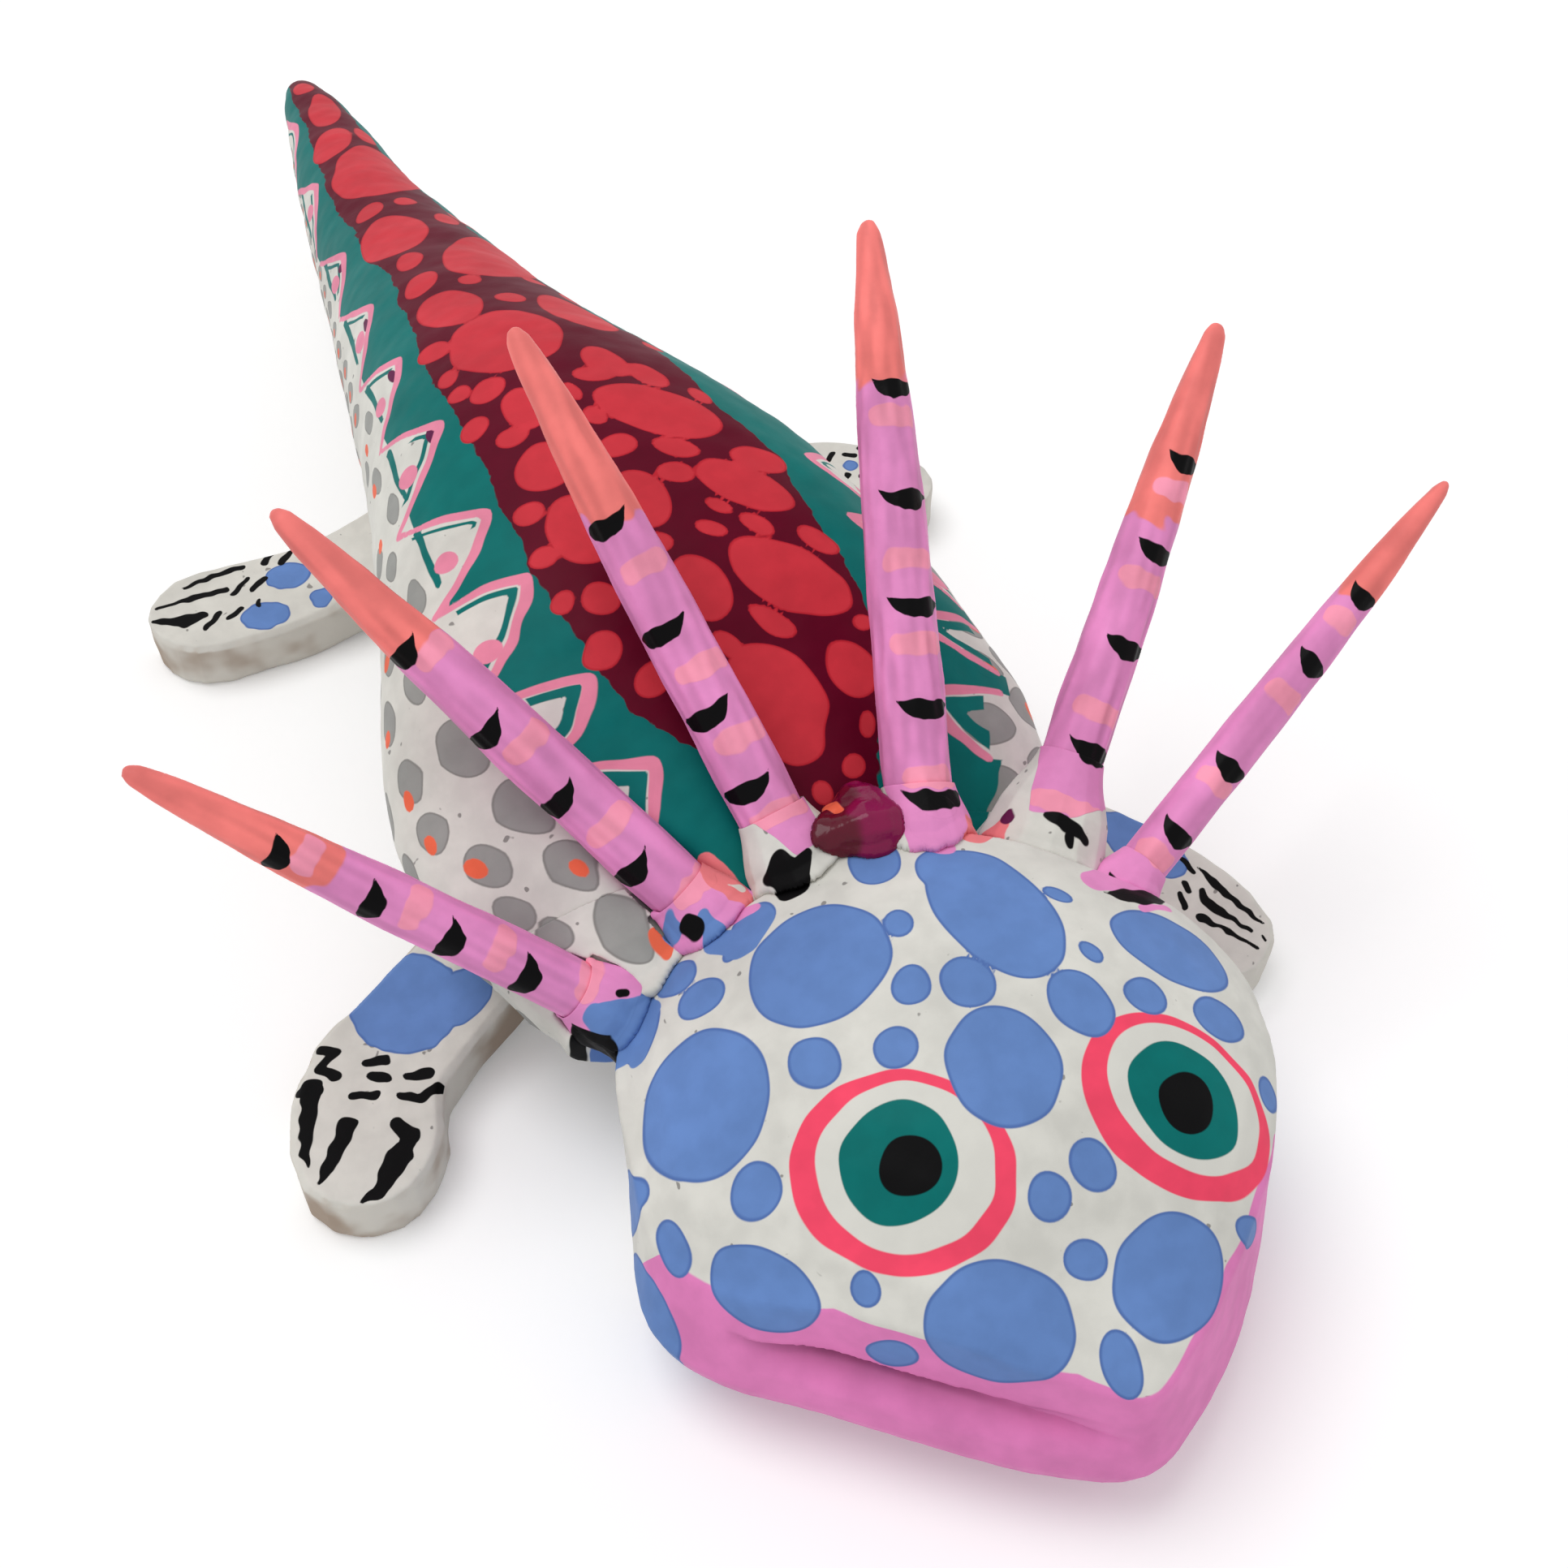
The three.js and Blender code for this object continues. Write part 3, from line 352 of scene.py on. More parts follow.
# Blue patches on the ankles: x, y, half sizes, turn.
FOOT_PATCHES = {
    "leg_front_left": [(-45.6, -47.0, 5.2, 5.6, 25), (-40.4, -48.2, 3.4, 2.6, 30)],
    "leg_front_right": [(30.2, -50.0, 3.0, 5.4, 28)],
    "leg_rear_left": [(-47.0, 15.4, 2.6, 2.2, 0), (-50.4, 9.8, 2.8, 2.2, 0), (-43.9, 10.6, 1.3, 1.6, 0)],
    "leg_rear_right": [(16.4, 17.2, 2.6, 2.0, -20), (21.4, 14.9, 1.0, 1.0, 0), (12.4, 13.8, 1.8, 1.6, 0)],
}

# ---------------------------------------------------------------- patches on the filler and the head's nape
# Brush marks round the neck, seen from the top: colour, then points (x, y, half width), then heights
# between which they are.
NECK_PATCHES = [
    ("salmon", [(-17.6, -53.8, 1.2), (-16.8, -55.8, 1.7), (-15.8, -58.0, 1.2)], (14, 29)),
    ("white", [(-16.4, -56.8, 0.3), (-15.4, -57.0, 0.35)], (14, 29)),
    ("orchid", [(-18.4, -58.4, 1.0), (-17.0, -59.6, 0.9), (-15.2, -60.0, 0.6)], (14, 29)),
    ("blue", [(-22.3, -58.1, 0.7), (-21.9, -58.9, 0.6)], (14, 29)),
    ("blue", [(-19.4, -59.2, 0.6), (-18.8, -61.6, 1.3), (-17.3, -63.0, 1.7), (-15.0, -61.8, 1.3)], (14, 30)),
    ("black", [(-20.9, -59.0, 0.7), (-20.3, -59.8, 0.8)], (14, 29)),
    ("black", [(-12.3, -58.6, 1.3), (-11.6, -60.0, 1.5), (-9.7, -58.3, 0.35)], (14, 32)),
    ("blue", [(-30.4, -62.6, 0.9), (-28.4, -64.4, 2.4), (-26.2, -63.6, 1.5), (-27.8, -67.0, 0.9)], (10, 23)),
    ("black", [(-27.9, -61.7, 0.35), (-27.3, -61.7, 0.3)], (14, 24)),
    ("black", [(-32.0, -62.6, 0.9), (-29.8, -64.6, 0.7)], (8, 18.3)),
    ("orchid", [(0.6, -59.6, 1.4), (1.5, -61.6, 1.1)], (14, 33)),
    ("salmon", [(5.0, -60.4, 1.5), (6.6, -59.4, 1.7), (8.4, -58.8, 0.7)], (14, 30)),
    ("purple", [(9.1, -58.5, 0.6), (9.5, -58.3, 0.5)], (14, 28)),
    ("black", [(12.0, -60.0, 0.35), (13.4, -61.2, 0.75), (14.9, -62.5, 0.4)], (20, 31)),
    ("black", [(13.5, -62.3, 0.4), (13.3, -63.0, 0.3)], (20, 31)),
    ("orchid", [(13.4, -68.0, 1.4), (18.0, -67.6, 2.2), (20.2, -69.0, 0.9)], (18, 31)),
    ("orchid", [(16.4, -71.2, 0.3), (19.2, -70.8, 0.5)], (18, 31)),
    ("black", [(13.5, -69.5, 0.3), (15.6, -69.8, 0.8), (18.4, -69.6, 1.0), (19.3, -69.3, 0.7)], (18, 31)),
]

# How far down each gill's filler the stick's paint goes: along the stick at the middle, and how much
# less far for each mm towards the left and the right side.
GILL_SKIRTS = {
    1: (-1.4, 0.0, 0.0),
    2: (-1.8, 0.0, 0.0),
    3: (0.0, 2.6, 2.6),
    4: (-2.6, 3.0, 0.0),
    5: (-0.9, 3.5, 0.8),
    6: (-5.0, 0.0, 0.0),
}
# Across a black crescent from its pointed end: turn round the stick in degrees, how far it hangs down
# towards the base, half width.
CRESCENT = [
    (0, 0.0, 0.0), (8, 0.35, 0.2), (18, 0.75, 0.5), (32, 1.1, 0.82), (50, 1.25, 1.02), (70, 1.2, 1.02),
    (88, 1.05, 0.86), (102, 0.85, 0.55), (112, 0.7, 0.2), (118, 0.7, 0.0),
]
CRESCENT_RISE = 0.6  # mm from a crescent's listed place up to its pointed end
CRESCENT_TRIM = 0.05  # mm that a crescent's half width is less than listed
PALE_HALF_ANGLE, PALE_HALF_WIDTH = 55, 1.0  # of a pale band, degrees and mm
CORAL_LEAN = 1.1  # mm that the coral's edge is nearer to the base on the stick's upper side
SKIRT_MIDDLE = 1.6  # mm to each side of a stick's axis where its skirt hangs straight
# Brush marks on a stick: wavelength in mm across them, and how fast they change along it next to that.
STICK_STREAKS = (1.5, 0.14)
STREAK_HEIGHT = 0.05  # mm
STREAK_SHADES = (-1.4, 1.4, 0.88, 1.10)  # lowest and highest streak, and the colour's strength there

# The planks are painted where the normal's upward part is over TOP_FACING, wandering a little. The blue
# patches go further down. From one unit of this measure the marks and the bare side make so many mm.
TOP_FACING, PATCH_OVERLAP = 0.55, 0.45
MARK_STEEPNESS, SIDE_STEEPNESS = 2, 1.5
WORN_LEVELS = (0.36, 0.52)  # of the cover noise, between which bare wood goes over into thin white paint
STICK_FOOT = (2, 12)  # where a stick's radius is measured, mm from its base
FILLER_RIM = 0.05  # mm of filler left round the stick
COLLAR_THINNING = 0.85  # share of the collar's wall that is feathered away at its end
GLUE_SEAM = -5.2  # x where burgundy glue meets magenta
GLUE_DAB = [(-7.4, -54.2, 0.5), (-6.3, -54.0, 0.6), (-6.0, -55.6, 0.45)]  # orange: x, y, half width
GLUE_SHEEN = 0.25

# The unsteady hand: how far an edge strays in mm, over how many mm that changes, and the seed.
STRAY = {
    "along": (0.12, 5.0, 21), "round": (0.12, 5.0, 22), "back": (0.14, 1.3, 23), "patches": (0.12, 2.6, 31),
    "gill": (0.12, 2.4, 40), "coral": (0.5, 3.0, 60), "black": (0.05, 1.6, 90), "pale": (0.11, 1.8, 100),
    "foot_x": (0.1, 1.8, 71), "foot_y": (0.1, 1.8, 72), "foot_edge": (0.1, 2.0, 73), "seam": (1.0, 4.0, 51),
}
HEAD_STRAY = (0.10, 5.5, (11, 12, 13))  # the same on the head, with a seed for each axis
STREAK_SEED = 80  # plus the stick's number

VOXEL = {"head": 0.36, "torso_tail": 0.5, "gill": 0.22, "leg": 0.22, "filler": 0.16, "neck": 0.2}


# ---------------------------------------------------------------- distances
FLAT = 1e-4  # a slope under this counts as level


def closest(gaps):
    """The least of several distances at each point."""
    return functools.reduce(np.minimum, gaps, FAR)


def oval(across, up, half_across, half_up):
    """Signed distance in mm from the edge of an oval round the origin."""
    reach = np.hypot(across / half_across, up / half_up)
    slope = np.hypot(across / half_across**2, up / half_up**2)
    return np.clip((reach - 1) * np.maximum(reach, 0.5) / np.maximum(slope, FLAT), -FAR, FAR)


def leaf(across, up, half_across, half_up):
    """About the signed distance in mm from the edge of a leaf that is pointed at both ends."""
    sideways, lengthwise = np.abs(across) / half_across, up / half_up
    reach = sideways**LEAF_POINT + lengthwise**2
    slope = np.hypot(LEAF_POINT * sideways ** (LEAF_POINT - 1) / half_across, 2 * lengthwise / half_up)
    return np.clip((reach - 1) / np.maximum(slope, FLAT), -FAR, FAR)


def leaning_oval(across, up, mark):
    """Signed distance from a mark given as its middle, its half sizes and its turn in degrees."""
    middle_across, middle_up, half_across, half_up, turn = mark
    c, s = math.cos(math.radians(turn)), math.sin(math.radians(turn))
    across, up = across - middle_across, up - middle_up
    return oval(across * c + up * s, up * c - across * s, half_across, half_up)


def stroke(across, up, path, scale=1.0):
    """Signed distance from a brush stroke through (across, up, half width) points.

    Across is in mm, and up in units of so many mm as scale says."""
    gaps = []
    for (a0, u0, w0), (a1, u1, w1) in zip(path, path[1:]):
        length, rise = a1 - a0, (u1 - u0) * scale
        ahead, over = across - a0, (up - u0) * scale
        share = np.clip((ahead * length + over * rise) / (length**2 + rise**2), 0, 1)
        gaps.append(np.hypot(ahead - share * length, over - share * rise) - w0 - share * (w1 - w0))
    return closest(gaps)


def waviness(points, wavelength, seed):
    """Smooth random values of about -1 to 1 that change over that many mm."""
    random = np.random.default_rng(seed)
    waves = 10
    directions = random.normal(size=(waves, 3))
    directions /= np.linalg.norm(directions, axis=1)[:, None]
    turns = directions * (2 * math.pi * random.uniform(0.6, 1.6, (waves, 1)) / wavelength)
    return np.sin(points @ turns.T + random.uniform(0, 2 * math.pi, waves)).sum(1) / math.sqrt(waves)


# ---------------------------------------------------------------- surfaces
PAINT_ORIGIN = np.array(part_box("head")[0]) / MM - np.array(HEAD_CORNER)
WELD = 0.001  # mm between vertices that are one
KNIFE_MARKS = [(1.0, 9.0, 5), (0.3, 3.5, 6)]  # share of the height, wavelength in mm, seed


class Surface:
    """A fine copy of a CAD node, with its vertices in the carver's frame."""

    def __init__(self, node, slot, voxel, soften, relief=0.0, grow=0.0, rounded_off=0):
        self.object = bpy.data.objects.new("painted_" + node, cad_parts[node].data.copy())
        bpy.context.scene.collection.objects.link(self.object)
        self.object.data.materials.clear()
        weld = self.object.modifiers.new("weld", "WELD")
        weld.merge_threshold = WELD * MM
        if rounded_off:
            curved = self.object.modifiers.new("curved", "SUBSURF")
            curved.levels = rounded_off
        swell = self.object.modifiers.new("swell", "DISPLACE")
        swell.strength = grow * MM
        swell.mid_level = 0
        even = self.object.modifiers.new("even", "REMESH")
        even.mode = "VOXEL"
        even.voxel_size = voxel * MM
        smooth = self.object.modifiers.new("soften", "SMOOTH")
        smooth.iterations = soften
        graph = bpy.context.evaluated_depsgraph_get()
        mesh = bpy.data.meshes.new_from_object(self.object.evaluated_get(graph))
        self.object.modifiers.clear()
        self.object.data = mesh
        mesh.name = self.object.name
        mesh.shade_smooth()
        self.read()
        if relief:
            self.carve(relief)
        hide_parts(node)
        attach(self.object, "root")

    def read(self):
        mesh = self.object.data
        flat = np.empty(len(mesh.vertices) * 3, np.float32)
        mesh.vertices.foreach_get("co", flat)
        self.points = flat.reshape(-1, 3).astype(float) / MM - PAINT_ORIGIN
        mesh.vertex_normals.foreach_get("vector", flat)
        self.normals = flat.reshape(-1, 3).astype(float)

    def stray(self, name, number=0):
        """How far the painter's hand is off at each point, mm. The number tells sticks apart."""
        reach, wavelength, seed = STRAY[name]
        return reach * waviness(self.points, wavelength, seed + number)

    def carve(self, relief):
        """Gentle unevenness of the knife and the sandpaper, relief mm high."""
        height = sum(share * waviness(self.points, *wave) for share, *wave in KNIFE_MARKS)
        self.raise_by(relief * height)

    def raise_by(self, heights):
        """Moves the vertices outwards by so many mm."""
        self.place(self.points + self.normals * heights[:, None])

    def place(self, points):
        """Moves the vertices to these places."""
        self.points = points
        placed = ((points + PAINT_ORIGIN) * MM).astype(np.float32)
        self.object.data.vertices.foreach_set("co", placed.ravel())
        self.object.data.update()

    def nearest(self, node):
        """The nearest places on a CAD node within the joint's reach, and how far they are (else FAR)."""
        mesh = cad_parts[node].data
        tree = BVHTree.FromPolygons(
            [vertex.co for vertex in mesh.vertices], [tuple(face.vertices) for face in mesh.polygons]
        )
        places, gaps = self.points.copy(), np.full(len(self.points), FAR)
        for index, vertex in enumerate(self.object.data.vertices):
            place, _, _, gap = tree.find_nearest(vertex.co, JOINT_REACH * MM)
            if place:
                places[index] = np.array(place) / MM - PAINT_ORIGIN
                gaps[index] = gap / MM
        return places, gaps

    def meet(self, *nodes):
        """Swells where a neighbouring piece is near, so that the joint between them is filled."""
        gap = closest(self.nearest(node)[1] for node in nodes)
        self.raise_by(JOINT_SWELL * np.maximum(1 - gap / JOINT_REACH, 0))

    def store(self, name, values):
        attribute = self.object.data.attributes.new(name, "FLOAT", "POINT")
        attribute.data.foreach_set("value", np.clip(values, -FAR, FAR).astype(np.float32))

    def finish(self, material):
        self.object.data.materials.append(material)


# ---------------------------------------------------------------- materials
# Noises over every paint, as scale per metre and detail: brush marks, uneven cover, dried film.
PAINT_NOISES = ((420, 4), (90, 3), (1500, 2))
SHEEN = 0.07  # specular level of dry acrylic paint
# Levels of a noise between which a coat goes from dark to light, then the shares of its strength that it
# is darkened and lightened by.
COVER_SHADES = (0.25, 0.75, 1.0, 0.6)
BRUSH_SHADES = (0.3, 0.7, 0.5, 0.4)
SPECK_COLOUR = (0.30, 0.28, 0.28)
SPECK_NOISE = (760, 1)
SPECK_LEVELS = (0.735, 0.775)  # of the noise, between which a speck's edge lies
SPECK_COVER = 0.65
RIM_COVER = 0.75
RIM_CORE = 0.3  # share of a rim's width that has its full colour
# Shares of the bump: the brush marks, the thickness of a coat of paint, the film.
MARK_HEIGHT, COAT_HEIGHT, FILM_HEIGHT = 0.6, 0.25, 0.35
BUMP_STRENGTH = 0.6


def linear(colour):
    """A colour written as it looks on screen, as the light values that the renderer works in."""
    return tuple(c / 12.92 if c <= 0.04045 else ((c + 0.055) / 1.055) ** 2.4 for c in colour) + (1.0,)


class Paint:
    """Builds one hand-painted material, layer over layer."""

    def __init__(self, name, ground, roughness=0.5):
        self.material = bpy.data.materials.new(name)
        self.material.use_nodes = True
        self.tree = self.material.node_tree
        self.shader = self.tree.nodes["Principled BSDF"]
        self.shader.inputs["Roughness"].default_value = roughness
        self.shader.inputs["Specular IOR Level"].default_value = SHEEN
        self.place = self.node("ShaderNodeNewGeometry").outputs["Position"]
        self.streaks, self.blotches, self.film = (self.noise(*sizes) for sizes in PAINT_NOISES)
        self.height = self.math("MULTIPLY", self.streaks, MARK_HEIGHT)
        self.colour = self.shaded(linear(ground))

    def node(self, kind):
        return self.tree.nodes.new(kind)

    def link(self, output, socket):
        self.tree.links.new(output, socket)

    def feed(self, value, socket):
        if isinstance(value, (int, float, tuple)):
            socket.default_value = value
        else:
            self.link(value, socket)

    def math(self, operation, first, second):
        node = self.node("ShaderNodeMath")
        node.operation = operation
        self.feed(first, node.inputs[0])
        self.feed(second, node.inputs[1])
        return node.outputs[0]

    def noise(self, scale, detail):
        node = self.node("ShaderNodeTexNoise")
        node.inputs["Scale"].default_value = scale
        node.inputs["Detail"].default_value = detail
        self.link(self.place, node.inputs["Vector"])
        return node.outputs["Fac"]

    def mix(self, share, first, second, blend="MIX"):
        node = self.node("ShaderNodeMix")
        node.data_type = "RGBA"
        node.blend_type = blend
        self.feed(share, node.inputs[0])
        self.feed(first, node.inputs[6])
        self.feed(second, node.inputs[7])
        return node.outputs[2]

    def ramp(self, value, low, high, to_low=0.0, to_high=1.0):
        node = self.node("ShaderNodeMapRange")
        node.interpolation_type = "SMOOTHSTEP"
        self.feed(value, node.inputs["Value"])
        for name, number in (("From Min", low), ("From Max", high), ("To Min", to_low), ("To Max", to_high)):
            node.inputs[name].default_value = number
        return node.outputs["Result"]

    def attribute(self, name):
        node = self.node("ShaderNodeAttribute")
        node.attribute_name = name
        return node.outputs["Fac"]

    def shaded(self, colour, strength=0.10):
        """The colour with uneven coverage: a little lighter and darker along the brush."""
        shades = []
        for noise, levels in ((self.blotches, COVER_SHADES), (self.streaks, BRUSH_SHADES)):
            low, high, darker, lighter = levels
            shades.append(self.ramp(noise, low, high, 1 - strength * darker, 1 + strength * lighter))
        return self.dimmed(colour, self.math("MULTIPLY", *shades))

    def dimmed(self, colour, amount):
        """The colour times a plain number."""
        grey = self.node("ShaderNodeCombineColor")
        for channel in range(3):
            self.link(amount, grey.inputs[channel])
        return self.mix(1.0, colour, grey.outputs[0], "MULTIPLY")

    def specks(self):
        """Sparse dark specks and scratches in the paint."""
        cover = self.ramp(self.noise(*SPECK_NOISE), *SPECK_LEVELS, 0.0, SPECK_COVER)
        self.colour = self.mix(cover, self.colour, linear(SPECK_COLOUR))

    def layer(self, name, colour, rim=None, rim_width=0.35, soft=0.07, strength=0.10):
        """Paints a colour where a distance, stored or made of nodes, is negative, perhaps with a rim."""
        distance = self.attribute(name) if isinstance(name, str) else name
        cover = self.ramp(distance, -soft, soft, 1.0, 0.0)
        paint = self.shaded(linear(colour), strength)
        if rim:
            inner = self.ramp(distance, -rim_width, -rim_width * RIM_CORE, 0.0, RIM_COVER)
            paint = self.mix(inner, paint, linear(rim))
        self.colour = self.mix(cover, self.colour, paint)
        self.height = self.math("ADD", self.height, self.math("MULTIPLY", cover, COAT_HEIGHT))

    def done(self, bump=0.00006):
        """Connects the colour and the relief, with the brush marks so many metres high."""
        self.link(self.colour, self.shader.inputs["Base Color"])
        node = self.node("ShaderNodeBump")
        node.inputs["Strength"].default_value = BUMP_STRENGTH
        node.inputs["Distance"].default_value = bump
        rough = self.math("MULTIPLY", self.film, FILM_HEIGHT)
        self.link(self.math("ADD", self.height, rough), node.inputs["Height"])
        self.link(node.outputs["Normal"], self.shader.inputs["Normal"])
        return self.material


# ---------------------------------------------------------------- head
def head_view(points, name):
    """Across and up in one of the head's flat views, and how far inside its reach each point is."""
    across, up, outward, reach = (np.array(part, float) for part in HEAD_VIEWS[name])
    return points @ across, points @ up, points @ outward - reach


def shaken(points):
    """The places moved about a little, as by the painter's hand."""
    reach, wavelength, seeds = HEAD_STRAY
    return points + reach * np.stack([waviness(points, wavelength, seed) for seed in seeds], axis=1)


def store_head_spots(surface):
    shaky = shaken(surface.points)
    nearest = []
    for view, marks in HEAD_SPOTS.items():
        across, up, within = head_view(shaky, view)
        nearest.append(np.maximum(closest(leaning_oval(across, up, mark) for mark in marks), -within))
    surface.store("spot", closest(nearest))


def carve_mouth(head):
    """Undercuts the upper lip along its line. Returns how strongly each point gets the painted shade below
    the lip, 0 to 1.
    """
    across, up = head.points[:, 0], head.points[:, 2]
    below = np.interp(across, *zip(*MOUTH_LINE)) - up
    run = np.interp(across, *zip(*MOUTH_RUN)) * (head.points[:, 1] < LIP_CENTRE[1])
    edge = np.clip(below / MOUTH_EDGE, 0, 1)
    inward = np.array([*LIP_CENTRE, 0]) - head.points * (1, 1, 0)
    inward /= np.linalg.norm(inward, axis=1)[:, None]
    depth = MOUTH_UNDERCUT * run * edge * np.clip(1 - below / MOUTH_FADE, 0, 1)
    head.place(head.points + inward * depth[:, None])
    return run * edge * np.exp(-np.maximum(below - MOUTH_EDGE, 0) / MOUTH_GLOOM)


def paint_head():
    head = Surface("head", "head_paint", VOXEL["head"], 3, relief=0.06)
    shade = carve_mouth(head)
    across, back, up = shaken(head.points).T
    store_head_spots(head)
    for part in ("ring", "white", "iris", "pupil"):
        nearest = closest(leaning_oval(across, back, eye[part]) for eye in EYES)
        head.store("eye_" + part, np.maximum(nearest, EYE_LEVEL - head.points[:, 2]))
    bearing = np.degrees(np.arctan2(across - LIP_CENTRE[0], LIP_CENTRE[1] - back))
    lip = up - np.interp(bearing, *zip(*LIP_EDGE))
    head.store("lip", np.maximum(lip, np.abs(bearing) - LIP_END))
    head.store("mouth_shade", shade)
    store_patches(head)

    paint = Paint("painted_head", WHITE)
    paint.specks()
    paint.layer("lip", PINK_LIP)
    # painted shade below the upper lip, darkest just under its edge and thinning out further down
    paint.colour = paint.mix(paint.attribute("mouth_shade"), paint.colour, linear(MOUTH_SHADE))
    paint.layer("eye_ring", RING)
    paint.layer("eye_white", WHITE, strength=0.04)
    paint.layer("eye_iris", TEAL)
    paint.layer("eye_pupil", BLACK)
    paint.layer("spot", BLUE, rim=BLUE_RIM)
    layer_patches(paint)
    head.finish(paint.done())


# ---------------------------------------------------------------- patches shared by the neck pieces
PATCH_COLOURS = {
    "salmon": SALMON, "white": WHITE, "orchid": ORCHID, "blue": BLUE, "purple": PURPLE, "black": BLACK,
}


def store_patches(surface):
    across, back, up = surface.points.T
    wobble = surface.stray("patches")
    for name in PATCH_COLOURS:
        patches = []
        for colour, path, (low, high) in NECK_PATCHES:
            if colour == name:
                outside = np.maximum(low - up, up - high)
                patches.append(np.maximum(stroke(across, back, path) + wobble, outside))
        surface.store("patch_" + name, closest(patches))


def layer_patches(paint):
    for name, colour in PATCH_COLOURS.items():
        paint.layer("patch_" + name, colour)


# ---------------------------------------------------------------- torso and tail
def body_coordinates(points):
    """Along the body in mm, angle from over the spine (left positive), and mm per degree there."""
    along = points[:, 1]
    rows, across, high = np.array(SPINE).T
    left = np.interp(along, rows, across) - points[:, 0]
    up = points[:, 2] - np.interp(along, rows, high)
    return along, np.degrees(np.arctan2(left, up)), np.hypot(left, up) * math.pi / 180


def leaf_rows(random):
    """Grey leaves with orange dots in rows down both flanks, smaller towards the tail."""
    leaves, dots = [], []

    def add(place, angle, size, half_angle, lean, side=1):
        half_length, dot_length, dot_angle = LEAF_HALF_LENGTH * size, DOT_HALF[0] * size, DOT_HALF[1]
        leaves.append((place, side * angle, half_length, half_angle, side * lean))
        if random.uniform() < DOTTED_SHARE:
            dots.append((place, side * (angle + DOT_DROP), dot_length, dot_angle))

    for side, first_rows in ((1, ()), (-1, RIGHT_FIRST_ROWS)):
        for row, angle in enumerate(first_rows + LEAF_ROW_ANGLES):
            along = ROWS_START + ROW_STAGGER * (row % 2)
            while along < ROWS_END:
                size = np.interp(along, *zip(*LEAF_SIZES))
                lean = random.uniform(0, 0.1)
                place = along + random.uniform(-0.6, 0.6)
                add(place, angle + random.uniform(-2, 2), size, LEAF_HALF_ANGLE, lean, side)
                along += LEAF_STEP[0] * size + LEAF_STEP[1]
    for row, angle in enumerate(LEFT_UPPER_ROWS):
        along = UPPER_ROWS_START + UPPER_ROW_STAGGER * row
        while along < UPPER_ROWS_END:
            size = np.interp(along, *zip(*LEAF_SIZES))
            add(along, angle + UPPER_ROW_SLOPE * along, size, UPPER_LEAF_HALF_ANGLE, UPPER_ROW_SLOPE)
            along += UPPER_LEAF_STEP[0] * size + UPPER_LEAF_STEP[1]
    return leaves, dots


def between(start, end, share):
    return start + (end - start) * share


def rounded(path):
    """The path with its corners cut twice, ends kept. Points may have any number of values."""
    path = np.array(path, float)
    for _ in range(2):
        low, high = path[:-1], path[1:]
        cuts = np.stack([between(low, high, 0.25), between(low, high, 0.75)], axis=1)
        path = np.vstack([path[:1], cuts.reshape(-1, path.shape[1]), path[-1:]])
    return path


def petal_line(petal):
    """The pink line round a petal: along, angle, half width."""
    (tail, tail_angle), (tip, tip_angle), (head, head_angle) = petal
    thin, thick = LINE_HALF_WIDTH
    middling = between(thin, thick, 0.5)
    shoulder, shoulder_angle = PETAL_SHOULDER
    return rounded([
        (tail, tail_angle, thin),
        (between(tail, tip, 0.5) + PETAL_BULGE[0], between(tail_angle, tip_angle, 0.5), middling),
        (between(tip, tail, shoulder), between(tip_angle, tail_angle, shoulder_angle), thick),
        (tip, tip_angle, thick),
        (between(tip, head, 0.5) - PETAL_BULGE[1], between(tip_angle, head_angle, 0.5), middling),
        (head, head_angle, thin),
    ])


